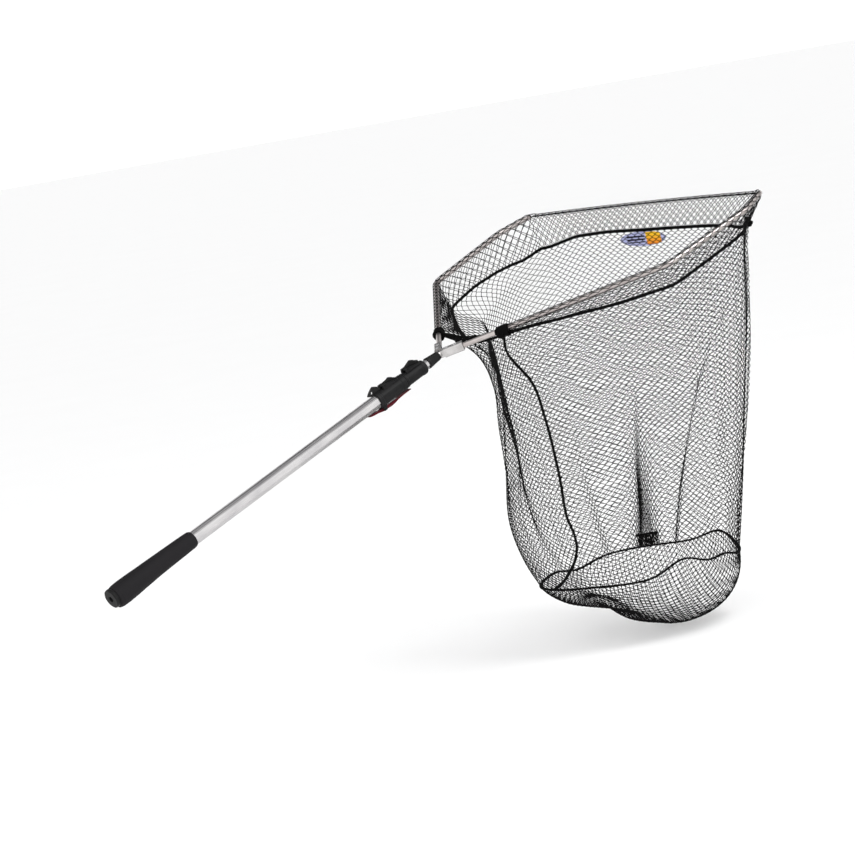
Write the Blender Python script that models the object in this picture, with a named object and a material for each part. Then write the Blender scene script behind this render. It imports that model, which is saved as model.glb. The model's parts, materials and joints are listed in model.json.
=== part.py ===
"""Folding landing net: telescopic handle, forked head, two folding arms and a net bag.

Metres, +Z up. The origin is the middle of the grip, on the handle's axis. The handle rises
towards +X in the XZ plane, and the net is symmetric about that plane. The near side is -Y.
"""
import bpy
import bmesh
from math import cos, sin, radians, pi
from mathutils import Matrix, Vector

# ---- driving dimensions -------------------------------------------------------------------
HANDLE_RISE = radians(18.5)      # the handle's slope
ORIGIN_STATION = 0.096           # the grip's middle; stations run along the axis from the butt
GAP = 0.0003                     # between pieces that touch

TUBE_TURN = radians(33.75)       # the eight-sided tubes' turn about the axis
OUTER_FLATS = 0.0246             # across the outer tube's flats
OUTER_WALL = 0.0012
MIDDLE_FLATS = 0.0206
INNER_FLATS = 0.0170
INNER_WALLS = 0.0010             # wall of the middle and inner tubes
SLIDE_CLEAR = 0.0003             # each side, between a collar's bore and its sliding tube

GRIP_END = 0.190
LOWER_COLLAR = (0.651, 0.721)    # the stations of each collar's two ends
UPPER_COLLAR = (0.7215, 0.777)
COLLAR_STEP = 0.56               # share of a collar's length that grips the thicker tube
HEAD_SLEEVE = (0.7865, 0.8155)
FORK = 0.821                     # station where the two arms' axes meet
OUTER_START = 0.0066             # where the three tubes begin
MIDDLE_START = 0.0450
INNER_START = 0.0850
SLEEVE_SOCKET = 0.0138           # how far the inner tube reaches into the head's sleeve
BUSH_FLANGE = 0.0050

LEVER_WIDTH = 0.0094             # lock levers
PIN_RADIUS = 0.0015
PIN_FIT = 0.0001                 # a lever's hole is this much larger than its pin
EAR_HALF_WIDTH = 0.0088
RELEASE_PIN = (0.008, -0.0190)   # from the lower collar's start, along the handle and off its axis
RELEASE_WIDTH = 0.0100
RELEASE_CHEEK = 0.0024
CUTTER = 0.0200                  # half the length of a drilling cylinder

SPIGOT = 0.0050
BRACKET_INSIDE = 0.0068          # half the height between a bracket's plates
SHEET = 0.0012                   # bracket sheet thickness
RIVET = 0.0019
BRACKET_RIVET = 0.0165           # from the fork's centre to the rivet that holds the bracket

ARM_ANGLE = radians(47.7)        # each arm's angle from the handle's axis
PIVOT = 0.033                    # from the fork's centre to an arm's rivet
TUBE_START = 0.0445
CUFF = 0.125                     # where the net's sleeve begins
ELBOW = 0.449                    # the arm's straight length, to its bend's corner
SHOULDER = (0.509, 0.350)        # a gentle corner between elbow and tip (forward, sideways)
TIP = (0.577, 0.325)
FRONT_BOW = 0.008                # how far the front line bows forward
ARM_RADIUS = 0.0050
ARM_SIDES = 14
ARM_BORE = 0.0039
BEND_RADIUS = 0.045

HEM_WALL = 0.0014
HEM_DEPTH = 0.045                # the net's folded sleeve hangs this far below an arm
HEM_START_DEPTH = 0.016
PANEL_CLEAR = 0.014              # from the sleeve's lower edge to the bag's top edge
BAG_WALL = 0.0022
RING_CENTRE = (0.407, -0.492)    # the bottom ring, forward and up from the fork's centre
RING_RADIUS = 0.183
RING_CORD = 0.0032
RING_CLEAR = 0.003               # from the ring's cord to the walls above and the bottom below
RING_SPLIT = {"front": radians(38), "fork": radians(152)}
CORNER_GAP = 0.006
BAG_BOTTOM = -0.600
BAG_MIDDLE = 0.33                # the bag's middle line, forward of the fork's centre
WALL_BANDS = 6
WALL_CURVE = 0.85                # below one, the walls draw in faster than they fall
TIP_INSET = 0.0067               # from a tip's centre to the end of the front line
LABEL_HALF = (0.062, 0.0140)     # half the label's width and height
LABEL_THICKNESS = 0.0012
LABEL_ASIDE = 0.022              # towards the far side, from the middle plane

COLOURS = {
    "black_foam": ((0.020, 0.019, 0.021), 0.75, 0.0),
    "black_plastic": ((0.018, 0.018, 0.019), 0.45, 0.0),
    "red_plastic": ((0.120, 0.010, 0.014), 0.40, 0.0),
    "aluminium": ((0.800, 0.790, 0.780), 0.30, 1.0),
    "steel": ((0.600, 0.600, 0.610), 0.35, 1.0),
    "netting": ((0.012, 0.012, 0.013), 0.80, 0.0),
    "cord": ((0.010, 0.010, 0.011), 0.70, 0.0),
    "label": ((0.180, 0.250, 0.550), 0.50, 0.0),
}

AXIS = Vector((cos(HANDLE_RISE), 0.0, sin(HANDLE_RISE)))
SIDE = Vector((0.0, 1.0, 0.0))
NORMAL = Vector((-sin(HANDLE_RISE), 0.0, cos(HANDLE_RISE)))
FORK_CENTRE = AXIS * (FORK - ORIGIN_STATION)
TILT = Matrix((AXIS, SIDE, NORMAL)).transposed().to_4x4()


# ---- helpers ------------------------------------------------------------------------------
def clear_scene():
    for obj in list(bpy.data.objects):
        bpy.data.objects.remove(obj, do_unlink=True)


def material(name):
    """The Principled material of this name, made once."""
    found = bpy.data.materials.get(name)
    if found:
        return found
    colour, roughness, metallic = COLOURS[name]
    made = bpy.data.materials.new(name)
    made.use_nodes = True
    shader = made.node_tree.nodes["Principled BSDF"]
    shader.inputs["Base Color"].default_value = (*colour, 1.0)
    shader.inputs["Roughness"].default_value = roughness
    shader.inputs["Metallic"].default_value = metallic
    made.diffuse_color = (*colour, 1.0)
    return made


def finish_object(name, bm, slot, matrix=None, smooth=True):
    """Turn a bmesh into a named object with its material."""
    bmesh.ops.recalc_face_normals(bm, faces=bm.faces)
    mesh = bpy.data.meshes.new(name)
    bm.to_mesh(mesh)
    bm.free()
    if smooth:
        mesh.shade_smooth()
        mesh.set_sharp_from_angle(angle=radians(35))
    mesh.materials.append(material(slot))
    obj = bpy.data.objects.new(name, mesh)
    bpy.context.scene.collection.objects.link(obj)
    if matrix is not None:
        obj.matrix_world = matrix
    return obj


def skin(bm, rings, closed=False):
    """Faces between rings of equal length; the ends are capped unless the rings form a loop."""
    loops = [[bm.verts.new(p) for p in ring] for ring in rings]
    count = len(loops[0])
    pairs = list(zip(loops, loops[1:]))
    if closed:
        pairs.append((loops[-1], loops[0]))
    for first, second in pairs:
        for i in range(count):
            j = (i + 1) % count
            bm.faces.new((first[i], first[j], second[j], second[i]))
    if not closed:
        bm.faces.new(list(reversed(loops[0])))
        bm.faces.new(loops[-1])


def circle(x, radius, count, lift=0.0):
    """A ring of points around the local X axis."""
    return [Vector((x, radius * cos(2 * pi * i / count), lift + radius * sin(2 * pi * i / count)))
            for i in range(count)]


def octagon(x, flats, count=32):
    """A ring with eight flats and rounded corners, around the local X axis."""
    ring = []
    corner = 0.985 * flats / 2 / cos(pi / 8)
    for i in range(count):
        angle = 2 * pi * i / count
        folded = (angle - TUBE_TURN) % (pi / 4)
        if folded > pi / 8:
            folded -= pi / 4
        radius = min(flats / 2 / cos(folded), corner)
        ring.append(Vector((x, radius * cos(angle), radius * sin(angle))))
    return ring


def on_handle(station):
    """The matrix of a piece whose local X runs along the handle from this station."""
    return Matrix.Translation(AXIS * (station - ORIGIN_STATION)) @ TILT


def box_mesh(bm, low, high):
    """An axis-aligned box between two corners."""
    made = bmesh.ops.create_cube(bm, size=1.0)
    for vert in made["verts"]:
        vert.co = Vector((low[k] + (vert.co[k] + 0.5) * (high[k] - low[k]) for k in range(3)))


def prism(bm, outline, half_width):
    """A flat outline in local X and Z, pushed out to both sides along Y."""
    near = [bm.verts.new((x, -half_width, z)) for x, z in outline]
    far = [bm.verts.new((x, half_width, z)) for x, z in outline]
    count = len(outline)
    bm.faces.new(near)
    bm.faces.new(list(reversed(far)))
    for i in range(count):
        j = (i + 1) % count
        bm.faces.new((near[j], near[i], far[i], far[j]))


def cylinder_mesh(bm, start, end, radius, count=20):
    """A closed cylinder between two points."""
    start, end = Vector(start), Vector(end)
    along = (end - start).normalized()
    aside = along.orthogonal().normalized()
    across = along.cross(aside)
    rings = []
    for centre in (start, end):
        rings.append([centre + radius * (aside * cos(2 * pi * i / count) + across * sin(2 * pi * i / count))
                      for i in range(count)])
    skin(bm, rings)


def boolean(obj, build, operation, matrix):
    """Join or cut a shape made by build(bm), in the same local frame as the object."""
    bm = bmesh.new()
    build(bm)
    tool = finish_object(obj.name + "_tool", bm, "steel", matrix, smooth=False)
    bpy.context.view_layer.update()
    change = obj.modifiers.new(operation.lower(), "BOOLEAN")
    change.operation = operation
    change.solver = "EXACT"
    change.object = tool
    graph = bpy.context.evaluated_depsgraph_get()
    mesh = bpy.data.meshes.new_from_object(obj.evaluated_get(graph))
    obj.modifiers.clear()
    obj.data = mesh
    bpy.data.objects.remove(tool, do_unlink=True)


def drill(obj, start, end, radius, matrix):
    """A round hole between two points of the object's local frame."""
    boolean(obj, lambda bm: cylinder_mesh(bm, start, end, radius), "DIFFERENCE", matrix)


# ---- handle -------------------------------------------------------------------------------
def tube(name, first, last, flats, wall):
    """One eight-sided drawn tube."""
    bm = bmesh.new()
    length = last - first
    inside = flats - 2 * wall
    rings = [octagon(0, flats), octagon(length, flats), octagon(length, inside), octagon(0, inside)]
    skin(bm, rings, closed=True)
    return finish_object(name, bm, "aluminium", on_handle(first))


def grip():
    """Foam grip, flared downwards at the butt, with a bore for the outer tube."""
    shape = ((0.0065, 0.0172), (0.0085, 0.0190), (0.014, 0.0203), (0.028, 0.0207), (0.048, 0.0201),
             (0.070, 0.0190), (0.100, 0.0178), (0.135, 0.0168), (0.165, 0.0160), (0.182, 0.0154),
             (0.1875, 0.0150), (GRIP_END, 0.0140))
    rings = []
    for station, radius in shape:
        droop = 0.0022 * max(0.0, 1.0 - station / 0.11)
        rings.append(circle(station, radius, 32, lift=-droop))
    bore = OUTER_FLATS + 2 * GAP
    rings.append(octagon(GRIP_END, bore))
    rings.append(octagon(shape[0][0], bore))
    bm = bmesh.new()
    skin(bm, rings, closed=True)
    return finish_object("grip", bm, "black_foam", on_handle(0.0))


def butt_cap():
    """Cap pressed into the outer tube, with a flat end face and a blind lanyard hole."""
    plug = OUTER_FLATS / 2 - OUTER_WALL - GAP
    shape = ((0.0, 0.0), (0.0, 0.0153), (0.0010, 0.0168), (0.0050, 0.0175), (0.0062, 0.0168),
             (0.0062, plug), (0.0240, plug), (0.0255, plug - 0.0015), (0.0255, 0.0))
    bm = bmesh.new()
    hole_depth, hole = 0.012, 0.0052
    rings = [circle(hole_depth, hole * 0.92, 32), circle(0.0008, hole, 32), circle(0.0, hole + 0.0007, 32)]
    rings += [circle(x, r, 32) for x, r in shape[1:-1]]
    skin(bm, rings)
    return finish_object("butt_cap", bm, "black_plastic", on_handle(0.0))


def tail_bush(name, station, around, within):
    """Slide bush in the tail of a sliding tube: a flange in the tube around it and a plug within."""
    bm = bmesh.new()
    length, bore = 0.022, 0.0045
    plug = within - 2 * GAP
    skin(bm, [octagon(0, around), octagon(BUSH_FLANGE, around), octagon(BUSH_FLANGE, plug),
              octagon(length, plug), circle(length, bore, 32), circle(0, bore, 32)], closed=True)
    return finish_object(name, bm, "black_plastic", on_handle(station))


def seat_end(ends):
    """The station where the thicker tube ends inside its collar."""
    return ends[0] + COLLAR_STEP * (ends[1] - ends[0]) - GAP


def collar(name, ends, outline, thick, thin):
    """Clamp collar: fixed round the end of one tube, with a stepped bore for the tube inside it."""
    length = ends[1] - ends[0]
    step = COLLAR_STEP * length
    thick_bore = thick + 2 * GAP
    thin_bore = thin + 2 * SLIDE_CLEAR
    rings = [circle(x * length, r, 32) for x, r in outline]
    rings += [octagon(length, thin_bore), octagon(step, thin_bore)]
    rings += [octagon(step, thick_bore), octagon(0, thick_bore)]
    bm = bmesh.new()
    skin(bm, rings, closed=True)
    return finish_object(name, bm, "black_plastic", on_handle(ends[0]))


def lever_seat(obj, pin, front, height):
    """Ears for a lock lever's pin on top of a collar, and the slot between them."""
    matrix = obj.matrix_world.copy()
    root = 0.0118

    def ears(bm):
        prism(bm, ((pin[0] - 0.0050, root), (pin[0] - 0.0030, height), (pin[0] + 0.0050, height),
                   (front, root + 0.0024), (front, root)), EAR_HALF_WIDTH)

    def slot(bm):
        box_mesh(bm, (pin[0] - 0.0070, -LEVER_WIDTH / 2 - GAP, 0.0020),
                 (front + 0.0008, LEVER_WIDTH / 2 + GAP, 0.0400))

    boolean(obj, ears, "UNION", matrix)
    boolean(obj, slot, "DIFFERENCE", matrix)
    drill(obj, (pin[0], -CUTTER, pin[1]), (pin[0], CUTTER, pin[1]), PIN_RADIUS + GAP, matrix)


def lock_lever(name, collar_start, pin, peak, front, floor, shoe):
    """Flip lever with a peaked thumb pad, a rounded hinge end and a shoe that grips the tube."""
    hub = 0.0026
    outline = [(pin[0] + hub * cos(a), pin[1] + hub * sin(a))
               for a in (radians(d) for d in (270, 240, 210, 180, 150, 120))]
    outline += [(peak[0] - 0.0035, peak[1] - 0.0012), peak, (peak[0] + 0.0030, peak[1] - 0.0008),
                (front - 0.0045, peak[1] - 0.0058), (front, peak[1] - 0.0062), (front, floor)]
    outline += [(shoe[1], floor), (shoe[1], shoe[2]), (shoe[0], shoe[2]), (shoe[0], floor)]
    bm = bmesh.new()
    shifted = [(x - pin[0], z - pin[1]) for x, z in outline]
    prism(bm, shifted, LEVER_WIDTH / 2)
    matrix = on_handle(collar_start) @ Matrix.Translation((pin[0], 0, pin[1]))
    obj = finish_object(name, bm, "black_plastic", matrix)
    drill(obj, (0, -CUTTER, 0), (0, CUTTER, 0), PIN_RADIUS + PIN_FIT, matrix)
    return obj


def lever_pin(name, collar_start, pin, half_length):
    """Steel cross pin."""
    bm = bmesh.new()
    cylinder_mesh(bm, (0, -half_length, 0), (0, half_length, 0), PIN_RADIUS)
    matrix = on_handle(collar_start) @ Matrix.Translation((pin[0], 0, pin[1]))
    return finish_object(name, bm, "steel", matrix)


def lower_lock():
    """The collar on the outer tube, its lock lever, its red release lever and its line hook."""
    start = LOWER_COLLAR[0]
    outline = ((0.0, 0.0148), (0.010, 0.0158), (0.108, 0.0158), (0.125, 0.0148), (0.85, 0.0143),
               (0.87, 0.0153), (0.98, 0.0153), (1.0, 0.0145))
    body = collar("lower_collar", LOWER_COLLAR, outline, OUTER_FLATS, MIDDLE_FLATS)
    pin, front, peak = (0.026, 0.0178), 0.0590, (0.047, 0.0232)
    lever_seat(body, pin, front, 0.0200)
    release_seat(body)
    lock_lever("lower_lock_lever", start, pin, peak, front, 0.0146, (0.0440, 0.0560, 0.0117))
    lever_pin("lower_lever_pin", start, pin, EAR_HALF_WIDTH - GAP)
    release_lever(start)
    line_hook(start)


def upper_lock():
    """The collar on the middle tube, with its lock lever."""
    start = UPPER_COLLAR[0]
    outline = ((0.0, 0.0136), (0.015, 0.0146), (0.095, 0.0146), (0.115, 0.0134), (0.82, 0.0131),
               (0.85, 0.0139), (0.97, 0.0139), (1.0, 0.0129))
    body = collar("upper_collar", UPPER_COLLAR, outline, MIDDLE_FLATS, INNER_FLATS)
    pin, front, peak = (0.016, 0.0166), 0.0470, (0.0345, 0.0252)
    lever_seat(body, pin, front, 0.0188)
    lock_lever("upper_lock_lever", start, pin, peak, front, 0.0136, (0.0340, 0.0445, 0.0099))
    lever_pin("upper_lever_pin", start, pin, EAR_HALF_WIDTH - GAP)


def release_seat(body):
    """Two ears under the lower collar that hold the release lever's pin."""
    matrix = body.matrix_world.copy()
    x, z = RELEASE_PIN
    root = -0.0130
    for side in (-1, 1):
        middle = side * (RELEASE_WIDTH / 2 + GAP + RELEASE_CHEEK / 2)

        def ear(bm, middle=middle):
            prism(bm, ((x - 0.0045, root), (x + 0.0055, root), (x + 0.0034, z - 0.0026),
                       (x - 0.0030, z - 0.0028)), RELEASE_CHEEK / 2)
            bmesh.ops.translate(bm, verts=bm.verts, vec=(0, middle, 0))

        boolean(body, ear, "UNION", matrix)
    drill(body, (x, -CUTTER, z), (x, CUTTER, z), PIN_RADIUS + GAP, matrix)


def release_lever(start):
    """Red rocker under the lower collar: its tail lies along the tube, its pad ends in a lip."""
    outline = ((-0.028, -0.0138), (-0.012, -0.0146), (-0.003, -0.0163), (0.006, -0.0164),
               (0.016, -0.0170),
               (0.068, -0.0172), (0.075, -0.0168), (0.077, -0.0174), (0.077, -0.0188), (0.072, -0.0190),
               (0.058, -0.0190), (0.044, -0.0198), (0.034, -0.0218), (0.024, -0.0226), (0.016, -0.0220),
               (0.011, -0.0218), (0.004, -0.0218), (-0.008, -0.0188), (-0.020, -0.0172),
               (-0.026, -0.0160), (-0.030, -0.0146))
    x, z = RELEASE_PIN
    bm = bmesh.new()
    prism(bm, [(a - x, b - z) for a, b in outline], RELEASE_WIDTH / 2)
    matrix = on_handle(start) @ Matrix.Translation((x, 0, z))
    lever = finish_object("release_lever", bm, "red_plastic", matrix)
    drill(lever, (0, -CUTTER, 0), (0, CUTTER, 0), PIN_RADIUS + PIN_FIT, matrix)
    lever_pin("release_pin", start, RELEASE_PIN, RELEASE_WIDTH / 2 + RELEASE_CHEEK)
    bow = ((0.018, -0.01500), (0.030, -0.01570), (0.042, -0.01630), (0.0425, -0.01660),
           (0.030, -0.01605), (0.018, -0.01535))
    bm = bmesh.new()
    prism(bm, bow, 0.0030)
    finish_object("release_spring", bm, "steel", on_handle(start))


def line_hook(start):
    """Black hook on the rear top of the lower collar, its mouth facing the tube."""
    top = 0.0161
    outline = [(0.0185, top), (0.0175, 0.0195), (0.0120, 0.0245), (0.0070, 0.0268), (0.0020, 0.0252),
               (-0.0060, 0.0205), (-0.0105, 0.0172), (-0.0100, 0.0150), (-0.0065, 0.0152), (-0.0048, 0.0170)]
    centre, mouth = (-0.0010, 0.0178), 0.0040
    outline += [(centre[0] + mouth * cos(a), centre[1] + mouth * sin(a))
                for a in (radians(d) for d in (165, 135, 105, 75, 45, 15, -15))]
    outline += [(0.0010, top), (0.0050, top)]
    bm = bmesh.new()
    prism(bm, outline, 0.0036)
    finish_object("line_hook", bm, "black_plastic", on_handle(start))


# ---- head ---------------------------------------------------------------------------------
def head_sleeve():
    """Fluted tapered sleeve that joins the inner tube to the fork's spigot."""
    length = HEAD_SLEEVE[1] - HEAD_SLEEVE[0]
    count = 48
    rings = []
    profile = ((0, 0.0100, 0), (0.0012, 0.0106, 0), (0.0040, 0.0106, 0), (0.0050, 0.0103, 0.0005),
               (length - 0.004, 0.0086, 0.0005), (length - 0.0025, 0.0087, 0), (length, 0.0083, 0))
    for x, radius, flute in profile:
        ring = circle(x, radius, count)
        for i, point in enumerate(ring):
            if flute and i % 4 == 0:
                point.yz = point.yz * (1 - flute / radius)
        rings.append(ring)
    rings += [circle(length, SPIGOT + GAP, count), circle(SLEEVE_SOCKET, SPIGOT + GAP, count)]
    bore = INNER_FLATS + 2 * GAP
    rings += [octagon(SLEEVE_SOCKET, bore, count), octagon(0, bore, count)]
    bm = bmesh.new()
    skin(bm, rings, closed=True)
    return finish_object("head_sleeve", bm, "black_plastic", on_handle(HEAD_SLEEVE[0]))


def arm_matrix(side, distance=0.0):
    """Local X along an arm from the fork's centre, local Z along the hoop's normal."""
    turn = Matrix.Rotation(side * ARM_ANGLE, 4, "Z")
    return Matrix.Translation(FORK_CENTRE) @ TILT @ turn @ Matrix.Translation((distance, 0, 0))


def fork_head():
    """Cast head: a spigot into the sleeve, a hub and two short bars that carry the brackets."""
    matrix = Matrix.Translation(FORK_CENTRE) @ TILT
    bm = bmesh.new()
    back = HEAD_SLEEVE[1] - FORK
    hub = 0.0078
    skin(bm, [circle(back - 0.0125, SPIGOT, 24), circle(back + 0.0006, SPIGOT, 24),
              circle(back + 0.0010, hub, 24), circle(0.0015, hub, 24), circle(0.0060, 0.0058, 24)])
    obj = finish_object("fork_head", bm, "aluminium", matrix)
    for side in (-1, 1):

        def bar(b, side=side):
            height = BRACKET_INSIDE - GAP
            box_mesh(b, (0.0, -0.0052, -height), (0.0235, 0.0052, height))
            bmesh.ops.rotate(b, verts=b.verts, matrix=Matrix.Rotation(side * ARM_ANGLE, 3, "Z"))

        boolean(obj, bar, "UNION", matrix)
    reach = Vector((0, 0, CUTTER))
    for side in (-1, 1):
        hole = Matrix.Rotation(side * ARM_ANGLE, 3, "Z") @ Vector((BRACKET_RIVET, 0, 0))
        drill(obj, hole - reach, hole + reach, RIVET + GAP, matrix)
    return obj


def rivet(name, matrix):
    """Rivet along local Z, with a shallow domed head on each end."""
    outside = BRACKET_INSIDE + SHEET + GAP
    half = [(outside + 0.0013, 0.0010), (outside + 0.0009, 0.0026), (outside, 0.0036), (outside, RIVET)]
    profile = half + [(-x, r) for x, r in reversed(half)]
    bm = bmesh.new()
    rings = [[Vector((p.y, p.z, p.x)) for p in circle(x, r, 20)] for x, r in profile]
    skin(bm, rings)
    finish_object(name, bm, "steel", matrix)


def bracket(prefix, side):
    """Channel of bent sheet, open on its inner side so that the arm can fold in, and two rivets."""
    matrix = arm_matrix(side)
    first, last = 0.0100, 0.0475
    inner, outer = 0.0060, -0.0076
    low, high = BRACKET_INSIDE, BRACKET_INSIDE + SHEET
    section = [(inner, high), (outer + 0.0016, high), (outer, high - 0.0016), (outer, -high + 0.0016),
               (outer + 0.0016, -high), (inner, -high), (inner, -low), (outer + SHEET, -low),
               (outer + SHEET, low), (inner, low)]
    bm = bmesh.new()
    skin(bm, [[Vector((x, -side * y, z)) for y, z in section] for x in (first, last)])
    obj = finish_object(prefix + "_bracket", bm, "aluminium", matrix)
    for distance in (BRACKET_RIVET, PIVOT):
        drill(obj, (distance, 0, -CUTTER), (distance, 0, CUTTER), RIVET + GAP, matrix)
    rivet(prefix + "_bracket_rivet", arm_matrix(side, BRACKET_RIVET))
    rivet(prefix + "_pivot_rivet", arm_matrix(side, PIVOT))


# ---- arms ---------------------------------------------------------------------------------
def arm_route():
    """Centre line of an arm in the hoop's plane, (forward, sideways), its bends rounded."""
    direction = Vector((cos(ARM_ANGLE), sin(ARM_ANGLE)))
    corners = [direction * TUBE_START, direction * ELBOW, Vector(SHOULDER), Vector(TIP)]
    points = [corners[0]]
    for before, corner, after, radius in ((corners[0], corners[1], corners[2], BEND_RADIUS),
                                          (corners[1], corners[2], corners[3], BEND_RADIUS)):
        into = (corner - before).normalized()
        out = (after - corner).normalized()
        half_turn = into.angle(out) / 2
        setback = radius * sin(half_turn) / cos(half_turn)
        entry, leave = corner - into * setback, corner + out * setback
        steps = 6
        for i in range(steps + 1):
            t = i / steps
            points.append((1 - t) ** 2 * entry + 2 * t * (1 - t) * corner + t * t * leave)
    points.append(corners[3])
    return points


def lay(points, side):
    """Route points on the near (-1) or far (+1) side as places in the world."""
    return [FORK_CENTRE + AXIS * u + SIDE * (side * v) for u, v in points]


def resample(points, spacing):
    """Points at even spacing along a polyline."""
    result = [points[0].copy()]
    need = spacing
    for a, b in zip(points, points[1:]):
        length = (b - a).length
        at = need
        while at <= length:
            result.append(a.lerp(b, at / length))
            at += spacing
        need = at - length
    if (result[-1] - points[-1]).length > 0.3 * spacing:
        result.append(points[-1].copy())
    else:
        result[-1] = points[-1].copy()
    return result


def tangents(points):
    ends = [points[0]] + points + [points[-1]]
    return [(ends[i + 2] - ends[i]).normalized() for i in range(len(points))]


def pipe_rings(points, radius, count, up):
    rings = []
    for centre, along in zip(points, tangents(points)):
        across = along.cross(up).normalized()
        over = across.cross(along)
        rings.append([centre + radius * (across * cos(2 * pi * i / count) + over * sin(2 * pi * i / count))
                      for i in range(count)])
    return rings


def arm(prefix, side):
    """One arm on its rivet: bent tube, end fitting and tip plug."""
    pivot = arm_matrix(side, PIVOT)
    route = lay(arm_route(), side)
    bm = bmesh.new()
    outer = pipe_rings(route, ARM_RADIUS, ARM_SIDES, NORMAL)
    inner = pipe_rings(route, ARM_BORE, ARM_SIDES, NORMAL)
    skin(bm, outer + list(reversed(inner)), closed=True)
    bmesh.ops.transform(bm, matrix=pivot.inverted(), verts=bm.verts)
    finish_object(prefix + "_arm_tube", bm, "aluminium", pivot)
    arm_fitting(prefix, pivot)
    tip_plug(prefix, pivot, route[-1], (route[-1] - route[-2]).normalized())


def arm_fitting(prefix, pivot):
    """The moulded end of an arm: an eye on the rivet and a plug in the tube."""
    eye, half_height, half_width = 0.0052, BRACKET_INSIDE - 0.0004, 0.0046
    shoulder = TUBE_START - PIVOT - 2 * GAP
    outline = [(eye * cos(radians(a)), eye * sin(radians(a))) for a in range(90, 271, 20)]
    outline += [(shoulder, -half_width), (shoulder, half_width)]
    bm = bmesh.new()
    skin(bm, [[Vector((x, y, z)) for x, y in outline] for z in (-half_height, half_height)])
    fitting = finish_object(prefix + "_arm_fitting", bm, "black_plastic", pivot)

    def plug(b):
        cylinder_mesh(b, (0.009, 0, 0), (0.030, 0, 0), ARM_BORE - GAP)

    boolean(fitting, plug, "UNION", pivot)
    drill(fitting, (0, 0, -CUTTER), (0, 0, CUTTER), RIVET + PIN_FIT, pivot)


def tip_plug(prefix, pivot, end, along):
    """Domed plug pressed into the open end of an arm's tube."""
    inside = ARM_BORE - GAP
    profile = ((-0.0110, inside - 0.0006), (-0.0100, inside), (GAP, inside), (GAP, ARM_RADIUS),
               (0.0012, ARM_RADIUS), (0.0026, 0.0040), (0.0034, 0.0020))
    across = along.cross(NORMAL)
    rings = []
    for x, radius in profile:
        turns = [2 * pi * i / ARM_SIDES for i in range(ARM_SIDES)]
        rings.append([end + along * x + radius * (across * cos(a) + NORMAL * sin(a)) for a in turns])
    bm = bmesh.new()
    skin(bm, rings)
    bmesh.ops.transform(bm, matrix=pivot.inverted(), verts=bm.verts)
    finish_object(prefix + "_tip_cap", bm, "black_plastic", pivot)


# ---- net ----------------------------------------------------------------------------------
def teardrop(centre, across, top, depth, inset):
    """Section of the folded sleeve: round over the tube, drawn to a narrow edge below."""
    count = 12
    points = []
    for i in range(count):
        angle = 2 * pi * i / count
        x, z = cos(angle), sin(angle)
        drop = (depth - inset) if z < 0 else top - inset
        width = (top - inset) * (1.0 if z > -0.3 else 0.62)
        points.append(centre + across * (x * width) + Vector((0, 0, z * drop)))
    return points


def sleeve(name, points, depths, matrix):
    """Net sleeve round a line of points, open at both ends."""
    outer, inner = [], []
    reach = ARM_RADIUS + HEM_WALL + 0.0009
    for centre, along, depth in zip(points, tangents(points), depths):
        across = Vector((-along.y, along.x, 0.0)).normalized()
        outer.append(teardrop(centre, across, reach, depth, 0.0))
        inner.append(teardrop(centre, across, reach, depth, HEM_WALL))
    bm = bmesh.new()
    skin(bm, outer + list(reversed(inner)), closed=True)
    bmesh.ops.transform(bm, matrix=matrix.inverted(), verts=bm.verts)
    finish_object(name, bm, "netting", matrix)


def hem_depth(reach):
    """Depth of the sleeve at this distance from the fork's centre."""
    grown = min(1.0, max(0.0, (reach - CUFF) / 0.20))
    return HEM_START_DEPTH + (HEM_DEPTH - HEM_START_DEPTH) * grown


def side_line(side, first=CUFF + 0.005):
    """The arm's centre line from the cuff to just short of the tip cap."""
    direction = Vector((cos(ARM_ANGLE), sin(ARM_ANGLE)))
    bends = arm_route()[1:]
    straight = [direction * first + (bends[0] - direction * first) * (i / 6) for i in range(6)]
    bends[-1] = bends[-1] + (bends[-2] - bends[-1]).normalized() * 0.018
    return lay(straight + bends, side)


def front_line_points(count, inset=0.0):
    """The bowed line between the two tips, from near to far."""
    u0, v0 = TIP
    points = []
    for i in range(count):
        t = -1 + 2 * i / (count - 1)
        forward = u0 + FRONT_BOW * (1 - t * t)
        points.append(FORK_CENTRE + AXIS * forward + SIDE * (t * (v0 - inset)))
    return points


def arm_sleeve(prefix, side):
    """The net's sleeve on an arm, and the cord wraps that gather its open end."""
    pivot = arm_matrix(side, PIVOT)
    points = side_line(side)
    depths = [hem_depth((p - FORK_CENTRE).length) for p in points]
    sleeve(prefix + "_sleeve", points, depths, pivot)
    start = arm_matrix(side, CUFF - 0.0085)
    bm = bmesh.new()
    bore = ARM_RADIUS + GAP
    skin(bm, [circle(x, r, 20) for x, r in ((0, 0.0066), (0.0016, 0.0086), (0.0040, 0.0078), (0.0062, 0.0088),
                                           (0.0080, 0.0070), (0.0080, bore), (0, bore))], closed=True)
    obj = finish_object(prefix + "_cuff", bm, "cord", start)
    obj.data.transform(pivot.inverted() @ start)
    obj.matrix_world = pivot


def front_edge():
    """The front line between the two tips and the net's sleeve on it."""
    line = front_line_points(25, inset=TIP_INSET)
    bm = bmesh.new()
    skin(bm, pipe_rings(line, 0.0022, 10, NORMAL))
    finish_object("front_line", bm, "cord", Matrix.Identity(4))
    points = front_line_points(21, inset=0.012)
    sleeve("front_sleeve", points, [HEM_DEPTH] * len(points), Matrix.Identity(4))


def ring_point(angle, radius=RING_RADIUS, height=0.0):
    x, z = RING_CENTRE
    return FORK_CENTRE + Vector((x + radius * cos(angle), radius * sin(angle), z + height))


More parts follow.
